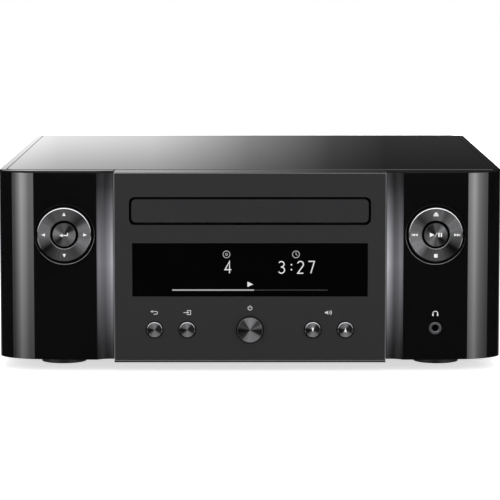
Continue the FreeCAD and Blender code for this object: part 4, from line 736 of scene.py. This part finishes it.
def make_ring_signs():
    """The marks on the two rings and their centre buttons."""
    reach = 11.6
    ways = ((-1, 0), (1, 0), (0, 1), (0, -1))
    arrows = [arrow(reach * across, reach * up, 2.1, 1.8, (across, up)) for across, up in ways]
    mark_control("left_ring_marks", "left_ring", arrows)
    eject = [arrow(0, reach + 0.4, 1.6, 2.8, (0, 1)), bar(0, reach - 0.95, 2.8, 0.6)]
    stop = bar(0, -reach, 2.0, 2.0)
    marks = [*eject, stop]
    for way in (-1, 1):
        marks += [arrow(way * (reach + shift), 0, 1.5, 1.6, (way, 0)) for shift in (-0.75, 0.75)]
        marks.append(bar(way * (reach + 1.6), 0, 0.3, 1.6))
    mark_control("right_ring_marks", "right_ring", marks)
    enter = stroke([(1.9, 1.1), (1.9, -0.35), (-1.2, -0.35)], 0.5)
    mark_control("ok_sign", "ok_button", [enter, head(-1.7, -0.35, (-1, 0), 1.8)])
    slash = stroke([(-0.5, -1.2), (0.6, 1.2)], 0.25)
    pause = [bar(x, 0, 0.85, 2.3) for x in (1.65, 3.0)]
    mark_control("play_sign", "play_button", [arrow(-2.1, 0, 2.6, 2.5, (1, 0)), slash, *pause])


def make_headphone_sign():
    """The sign over the headphone socket, clear of the curved wing."""
    x, level, reach = middle_of("headphone_jack").x, 32.2 * MM, 2 * MM
    nearest = min(wall_at("right_front_wing", x + shift, level) for shift in (-reach, 0, reach))
    shapes = [ring_line(0, 0, 1.45, LINE, 0, 180), bar(-1.3, -0.5, 0.75, 1.3), bar(1.3, -0.5, 0.75, 1.3)]
    marked("headphone_sign", placed(shapes, x, level), nearest - SIGN_LIFT * 2, "casing", WHITE_PRINT,
           MARK_THICKNESS)


# Digits as lines in a cell of one wide and two high
DIGITS = {
    "2": [*arc(0.5, 1.5, 0.5, 160, -200, 12), (0.05, 0.0), (1.0, 0.0)],
    "3": [*arc(0.5, 1.52, 0.45, 150, -240, 12), *arc(0.5, 0.52, 0.52, 90, -240, 12)],
    "4": [(0.75, 0.0), (0.75, 2.0), (0.0, 0.6), (1.05, 0.6)],
    "7": [(0.0, 2.0), (1.0, 2.0), (0.4, 0.0)],
}


def make_display():
    """The lit marks on the smoked window: disc and clock signs, digits, a play mark, a progress line."""
    low, high = box_of("display_window")
    middle = (low.z + high.z) / 2
    icons, digits, height, thin = 8.6, -1.9, 6.6, 0.62
    disc, clock = -12.986, 25.42
    signs = [ring_line(disc, icons, 1.9, 0.4), ring_line(disc, icons, 0.55, 0.35),
             ring_line(clock, icons, 1.9, 0.4),
             stroke([(clock, icons + 1.2), (clock, icons), (clock + 0.85, icons - 0.5)], 0.35)]
    marks = []
    for text, x in (("4", -13.815), ("3", 15.749), ("2", 26.249), ("7", 32.328)):
        points = [(x + across * height / 2, digits + up * height / 2) for across, up in DIGITS[text]]
        marks.append(stroke(points, thin))
    colon = 22.933
    marks += [bar(colon, digits + height * share, 0.8, 0.8) for share in (0.3, 0.72)]
    line = (low.z - middle) / MM + 5.2
    start, now, end = -43.104, 2.21, 43.104
    signs.append(bar((start + now) / 2, line, now - start, 0.75))
    marks.append(arrow(0.166, line + 3.2, 3.2, 3.0, (1, 0)))
    rest = [bar((now + end) / 2, line, end - now, 0.5)]
    for name, shapes, level, thickness in (
        ("display_marks", marks, 0.75, SIGN_THICKNESS),
        ("display_signs", signs, 0.4, SIGN_THICKNESS),
        ("display_rest_line", rest, 0.01, SIGN_THICKNESS / 2),
    ):
        glow = Finish(f"{name}_glow").set(Emission_Strength=level, Roughness=0.4)
        tint = glow.between(glow.noise(600), (0.9, 0.91, 0.92), (0.98,) * 3)
        glow.links.new(tint, glow.shader.inputs["Emission Color"])
        glow.colour(glow.between(glow.noise(600), (0.02,) * 3, (0.03,) * 3))
        marked(name, placed(shapes, 0, middle), low.y - SIGN_LIFT, "casing", glow.material,
               thickness)


# Rear details


def make_screws():
    """Domed screws on the back panel, with cross slots of painted shade."""
    low, high = box_of("back_panel")
    side_inset, end_inset, middle_x = 6 * MM, 5 * MM, 45 * MM
    bottom, top = low.z + end_inset, high.z - end_inset
    places = [(x, z) for x in (low.x + side_inset, high.x - side_inset) for z in (bottom, top)]
    places += [(-middle_x, top), (middle_x, top), (0.0, bottom)]
    dome = [(0, 1.5 * MM), (MM, 1.45 * MM), (1.9 * MM, 1.15 * MM), (2.6 * MM, 0.55 * MM), (2.8 * MM, 0.0)]
    long, narrow, slot_height = 2.2, 0.45, 1.35 * MM
    cross = [bar(0, 0, long, narrow), bar(0, 0, narrow, long)]
    for number, (x, z) in enumerate(places):
        turned(f"back_screw_{number}", dome, "casing", ZINC, (x, high.y, z), "open", steps=32)
        # painted shade: the cross slots are raised black marks
        marked(f"back_screw_slot_{number}", placed(cross, x, z), high.y + slot_height, "casing", PAINTED_SHADE,
               MARK_THICKNESS)


def make_sockets():
    """Coloured rings at the phono sockets and about their mouths, and the thread of the aerial socket."""
    high = box_of("phono_sockets")[1]
    middle = middle_of("phono_sockets")
    plate = box_of("back_panel")[1].y
    pitch, bore, wide, narrow = 7 * MM, 4.15 * MM, 1.3 * MM, 0.8 * MM
    ring = [(bore, 0), (bore + wide, 0), (bore + wide, MM), (bore + narrow, 1.4 * MM), (bore, 1.4 * MM)]
    mouth = band(1.7 * MM, 3.2 * MM, 0, 0.25 * MM)
    mouth_y = high.y - 0.1 * MM
    for name, up, material in (("phono_white", pitch, WHITE_RING), ("phono_red", -pitch, RED_CAP)):
        for piece, profile, y in ((name, ring, plate), (f"{name}_mouth", mouth, mouth_y)):
            turned(piece, profile, "casing", material, (middle.x, y, middle.z + up),
                   steps=48)
    middle, radius = middle_of("aerial_socket"), radius_of("aerial_socket")
    end = box_of("aerial_socket")[1].y
    crest, root, pitch = radius + 0.35 * MM, radius - 0.2 * MM, 0.75 * MM
    start = plate + 1.5 * MM
    thread = []
    place = start
    while place + pitch < end:
        thread += [(radius, place), (crest, place + pitch / 2)]
        place += pitch
    thread += [(radius, place), (root, place), (root, start)]
    turned("aerial_thread", thread, "casing", ZINC, (middle.x, 0, middle.z), steps=48)


# Light, floor and camera


def ray_mix(nodes, links, ray, seen, other):
    """One shader for a kind of ray, and the other one for the rest."""
    path = nodes.new("ShaderNodeLightPath")
    mix = nodes.new("ShaderNodeMixShader")
    links.new(path.outputs[ray], mix.inputs["Fac"])
    links.new(other, mix.inputs[1])
    links.new(seen, mix.inputs[2])
    return mix.outputs["Shader"]


def make_world():
    """White where the camera sees it, a dim studio in reflections, and a soft even fill elsewhere."""
    world = bpy.data.worlds.new("studio")
    bpy.context.scene.world = world
    world.use_nodes = True
    nodes, links = world.node_tree.nodes, world.node_tree.links
    nodes.clear()

    def background(level):
        shader = nodes.new("ShaderNodeBackground")
        shader.inputs["Color"].default_value = (level, level, level, 1)
        return shader.outputs["Background"]

    split = nodes.new("ShaderNodeSeparateXYZ")
    links.new(nodes.new("ShaderNodeTexCoord").outputs["Generated"], split.inputs["Vector"])
    low_z, high_z, dimmest, brightest = 0.15, 0.4, 0.012, 0.45
    ceiling = nodes.new("ShaderNodeMapRange")
    numbers = (low_z, high_z, dimmest, brightest)
    for socket, number in zip(("From Min", "From Max", "To Min", "To Max"), numbers):
        ceiling.inputs[socket].default_value = number
    links.new(split.outputs["Z"], ceiling.inputs["Value"])
    studio = nodes.new("ShaderNodeBackground")
    links.new(ceiling.outputs["Result"], studio.inputs["Strength"])
    output = nodes.new("ShaderNodeOutputWorld")
    dim = ray_mix(nodes, links, "Is Glossy Ray", studio.outputs["Background"], background(0.5))
    whole = ray_mix(nodes, links, "Is Camera Ray", background(1.0), dim)
    links.new(whole, output.inputs["Surface"])


def make_floor():
    """A pale floor that looks white to the camera and keeps the shadow near the object."""
    reach = 6
    mesh = bpy.data.meshes.new("floor")
    mesh.from_pydata([(-reach, -reach, 0), (reach, -reach, 0), (reach, reach, 0), (-reach, reach, 0)], [],
                     [(0, 1, 2, 3)])
    floor = bpy.data.objects.new("floor", mesh)
    bpy.context.scene.collection.objects.link(floor)
    floor.visible_glossy = False
    made = Finish("floor_pale").set(Roughness=0.9, Specular_IOR_Level=0.0)
    made.colour(made.between(made.noise(3), (0.84,) * 3, (0.86,) * 3))
    nodes, links = made.nodes, made.links
    near = nodes.new("ShaderNodeTexGradient")
    near.gradient_type = "SPHERICAL"
    links.new(made.mapped((1.1,) * 3), near.inputs["Vector"])
    glow = nodes.new("ShaderNodeEmission")
    level = made.spread(near.outputs["Fac"], 0.0, 0.6, start=1.0, end=0.65)
    links.new(level, glow.inputs["Strength"])
    both = nodes.new("ShaderNodeAddShader")
    links.new(made.shader.outputs["BSDF"], both.inputs[0])
    links.new(glow.outputs["Emission"], both.inputs[1])
    seen = ray_mix(nodes, links, "Is Camera Ray", both.outputs["Shader"], made.shader.outputs["BSDF"])
    links.new(seen, nodes["Material Output"].inputs["Surface"])
    mesh.materials.append(made.material)


def make_lamp(name, place, target, size, power):
    """A rectangular lamp aimed at a target, which reflections do not show."""
    lamp = bpy.data.lights.new(name, "AREA")
    lamp.shape = "RECTANGLE"
    lamp.size, lamp.size_y = size
    lamp.energy = power
    holder = bpy.data.objects.new(name, lamp)
    holder.location = place
    holder.rotation_euler = (Vector(target) - Vector(place)).to_track_quat("-Z", "Y").to_euler()
    holder.visible_glossy = False
    bpy.context.scene.collection.objects.link(holder)


def make_lamps():
    """A softbox on each side of the front, one overhead and one behind."""
    reach, turn, height = 1.6, math.radians(50), 0.35
    front_size, front_target = (1.7, 1.4), (0, -0.1, 0.07)
    for side, sign in SIDES:
        place = (sign * reach * math.sin(turn), -reach * math.cos(turn), height)
        make_lamp(f"{side}_softbox", place, front_target, front_size, power=14)
    make_lamp("overhead", place=(0, 0.1, 1.8), target=(0, 0, 0), size=(1.6, 1.2), power=12)
    make_lamp("rear_softbox", place=(0.3, 1.7, 0.7), target=(0, 0.1, 0.06), size=(1.7, 1.0), power=14)


def card_light(name, stops, axis, span, fall_span, fall, strength):
    """A card's light: grey stops over a span of one axis, times a level that runs along Z.

    The axis is "X", "Y" or "turn", the angle about Z from the front, the same on both sides. The level goes
    from the first to the second of fall over fall_span.
    """
    made = Finish(name)
    if axis == "turn":
        aside = made.compute("ABSOLUTE", made.coordinate("X"))
        across = made.compute("ARCTAN2", aside, made.compute("MULTIPLY", made.coordinate("Y"), -1))
    else:
        across = made.coordinate(axis)
    tone = made.grey(made.spread(across, *span), stops)
    level = made.compute("MULTIPLY", made.spread(made.coordinate("Z"), *fall_span, *fall), strength)
    glow = made.nodes.new("ShaderNodeEmission")
    made.links.new(tone, glow.inputs["Color"])
    made.links.new(level, glow.inputs["Strength"])
    made.links.new(glow.outputs["Emission"], made.nodes["Material Output"].inputs["Surface"])
    return made.material


def make_card(name, first, second, material):
    """A card between two rows of points that only reflections see."""
    mesh = bpy.data.meshes.new(name)
    count = len(first)
    faces = [(step, step + 1, count + step + 1, count + step) for step in range(count - 1)]
    mesh.from_pydata([*first, *second], [], faces)
    mesh.materials.append(material)
    card = bpy.data.objects.new(name, mesh)
    bpy.context.scene.collection.objects.link(card)
    card.visible_camera = False
    card.visible_diffuse = False
    card.visible_shadow = False
    card.visible_transmission = False


def make_upright(name, start, end, bottom, top, material):
    """An upright card over a line between two points of (x, y)."""
    make_card(name, *([(*start, level), (*end, level)] for level in (bottom, top)), material)


def make_rear_cards():
    """A graded card behind for the glossy top, and one that goes on below it."""
    start, end = (-1.5, 1.6), (1.5, 1.6)
    stops = [(0.0, 1.0), (0.1, 0.75), (0.17, 0.58), (0.33, 0.47), (0.5, 0.175), (0.64, 0.05), (0.735, 0.024),
             (1.0, 0.022)]
    light = card_light("rear_card_light", stops, "X", span=(-0.35, 0.35), fall_span=(0.215, 0.26),
                       fall=(1.0, 0.5), strength=2.1)
    make_upright("rear_card", start, end, 0.13, 0.6, light)
    stops = [(0.0, 0.25), (0.3, 0.6), (0.62, 1.0), (1.0, 0.3)]
    light = card_light("lower_card_light", stops, "X", span=(-1.4, 1.4), fall_span=(-0.7, 0.05),
                       fall=(0.5, 1.0), strength=1.6)
    make_upright("lower_card", start, end, -0.8, 0.08, light)


# Where each side card starts, in degrees from the front, its least level, and its tone from there on
SIDE_CARDS = {
    "left": (22.7, 0.3, [(0.0, 0.38), (0.2, 0.43), (0.4, 0.83), (0.54, 1.0), (0.69, 0.55), (0.87, 0.2),
                         (1.0, 0.15)]),
    "right": (26.8, 0.42, [(0.0, 0.5), (0.28, 1.0), (0.38, 0.8), (0.47, 0.55), (0.63, 0.37), (0.86, 0.22),
                           (1.0, 0.18)]),
}


def make_side_cards():
    """A curved card on each side for the rounded corners, and an upright one low beside the object."""
    radius, steps, last = 1.6, 16, math.radians(71)
    for side, sign in SIDES:
        start, least, stops = SIDE_CARDS[side]
        first = math.radians(start)
        light = card_light(f"{side}_card_light", stops, "turn", span=(first, last), fall_span=(-0.24, -0.03),
                           fall=(least, 1.0), strength=8.0)
        turns = [first + (last - first) * step / steps for step in range(steps + 1)]
        rows = [[(sign * radius * math.sin(turn), -radius * math.cos(turn), level) for turn in turns]
                for level in (-0.6, 0.1)]
        make_card(f"{side}_card", *rows, light)
    bottom, top, reach = -0.9, -0.28, 0.9
    light = card_light("low_side_card_light", [(0.0, 0.2), (0.35, 1.0), (1.0, 0.2)], "Y", span=(-0.8, 0.8),
                       fall_span=(bottom, top), fall=(0.4, 1.0), strength=0.9)
    for side, sign in SIDES:
        x = sign * radius
        make_upright(f"{side}_low_card", (x, -reach), (x, reach), bottom, top, light)


def make_arch_card():
    """An arch over the object for the upper edges."""
    radius, steps, first, whole = 1.5, 16, math.radians(-87), math.radians(174)
    front, back = -0.7, 0.3
    light = card_light("arch_card_light", [(0.0, 0.0), (0.35, 1.0), (0.65, 1.0), (1.0, 0.0)], "Y",
                       span=(front, back), fall_span=(0.1, 1.4), fall=(0.2, 1.0), strength=2.5)
    turns = [first + whole * step / steps for step in range(steps + 1)]
    rows = [[(radius * math.sin(turn), y, radius * math.cos(turn)) for turn in turns] for y in (front, back)]
    make_card("arch_card", *rows, light)


def make_camera():
    """The photograph's view: a long lens in front, a little above."""
    distance, height, aim = 1.455, 0.2349, 0.068
    camera = bpy.data.cameras.new("photo_camera")
    camera.sensor_width = 36
    camera.lens = 190.8
    holder = bpy.data.objects.new("photo_camera", camera)
    bpy.context.scene.collection.objects.link(holder)
    place = Vector((0, PANEL_Y - distance, height))
    holder.location = place
    holder.rotation_euler = (Vector((0, PANEL_Y, aim)) - place).to_track_quat("-Z", "Y").to_euler()
    bpy.context.scene.camera = holder


dress_solids()
make_keys()
make_rings()
make_jack()
make_panel_faces()
make_top_trim()
make_panel_edges()
make_coves()
make_wing_caps()
make_key_signs()
make_ring_signs()
make_headphone_sign()
make_display()
make_screws()
make_sockets()
make_world()
make_floor()
make_lamps()
make_rear_cards()
make_side_cards()
make_arch_card()
make_camera()
bpy.context.scene.view_settings.view_transform = "Standard"
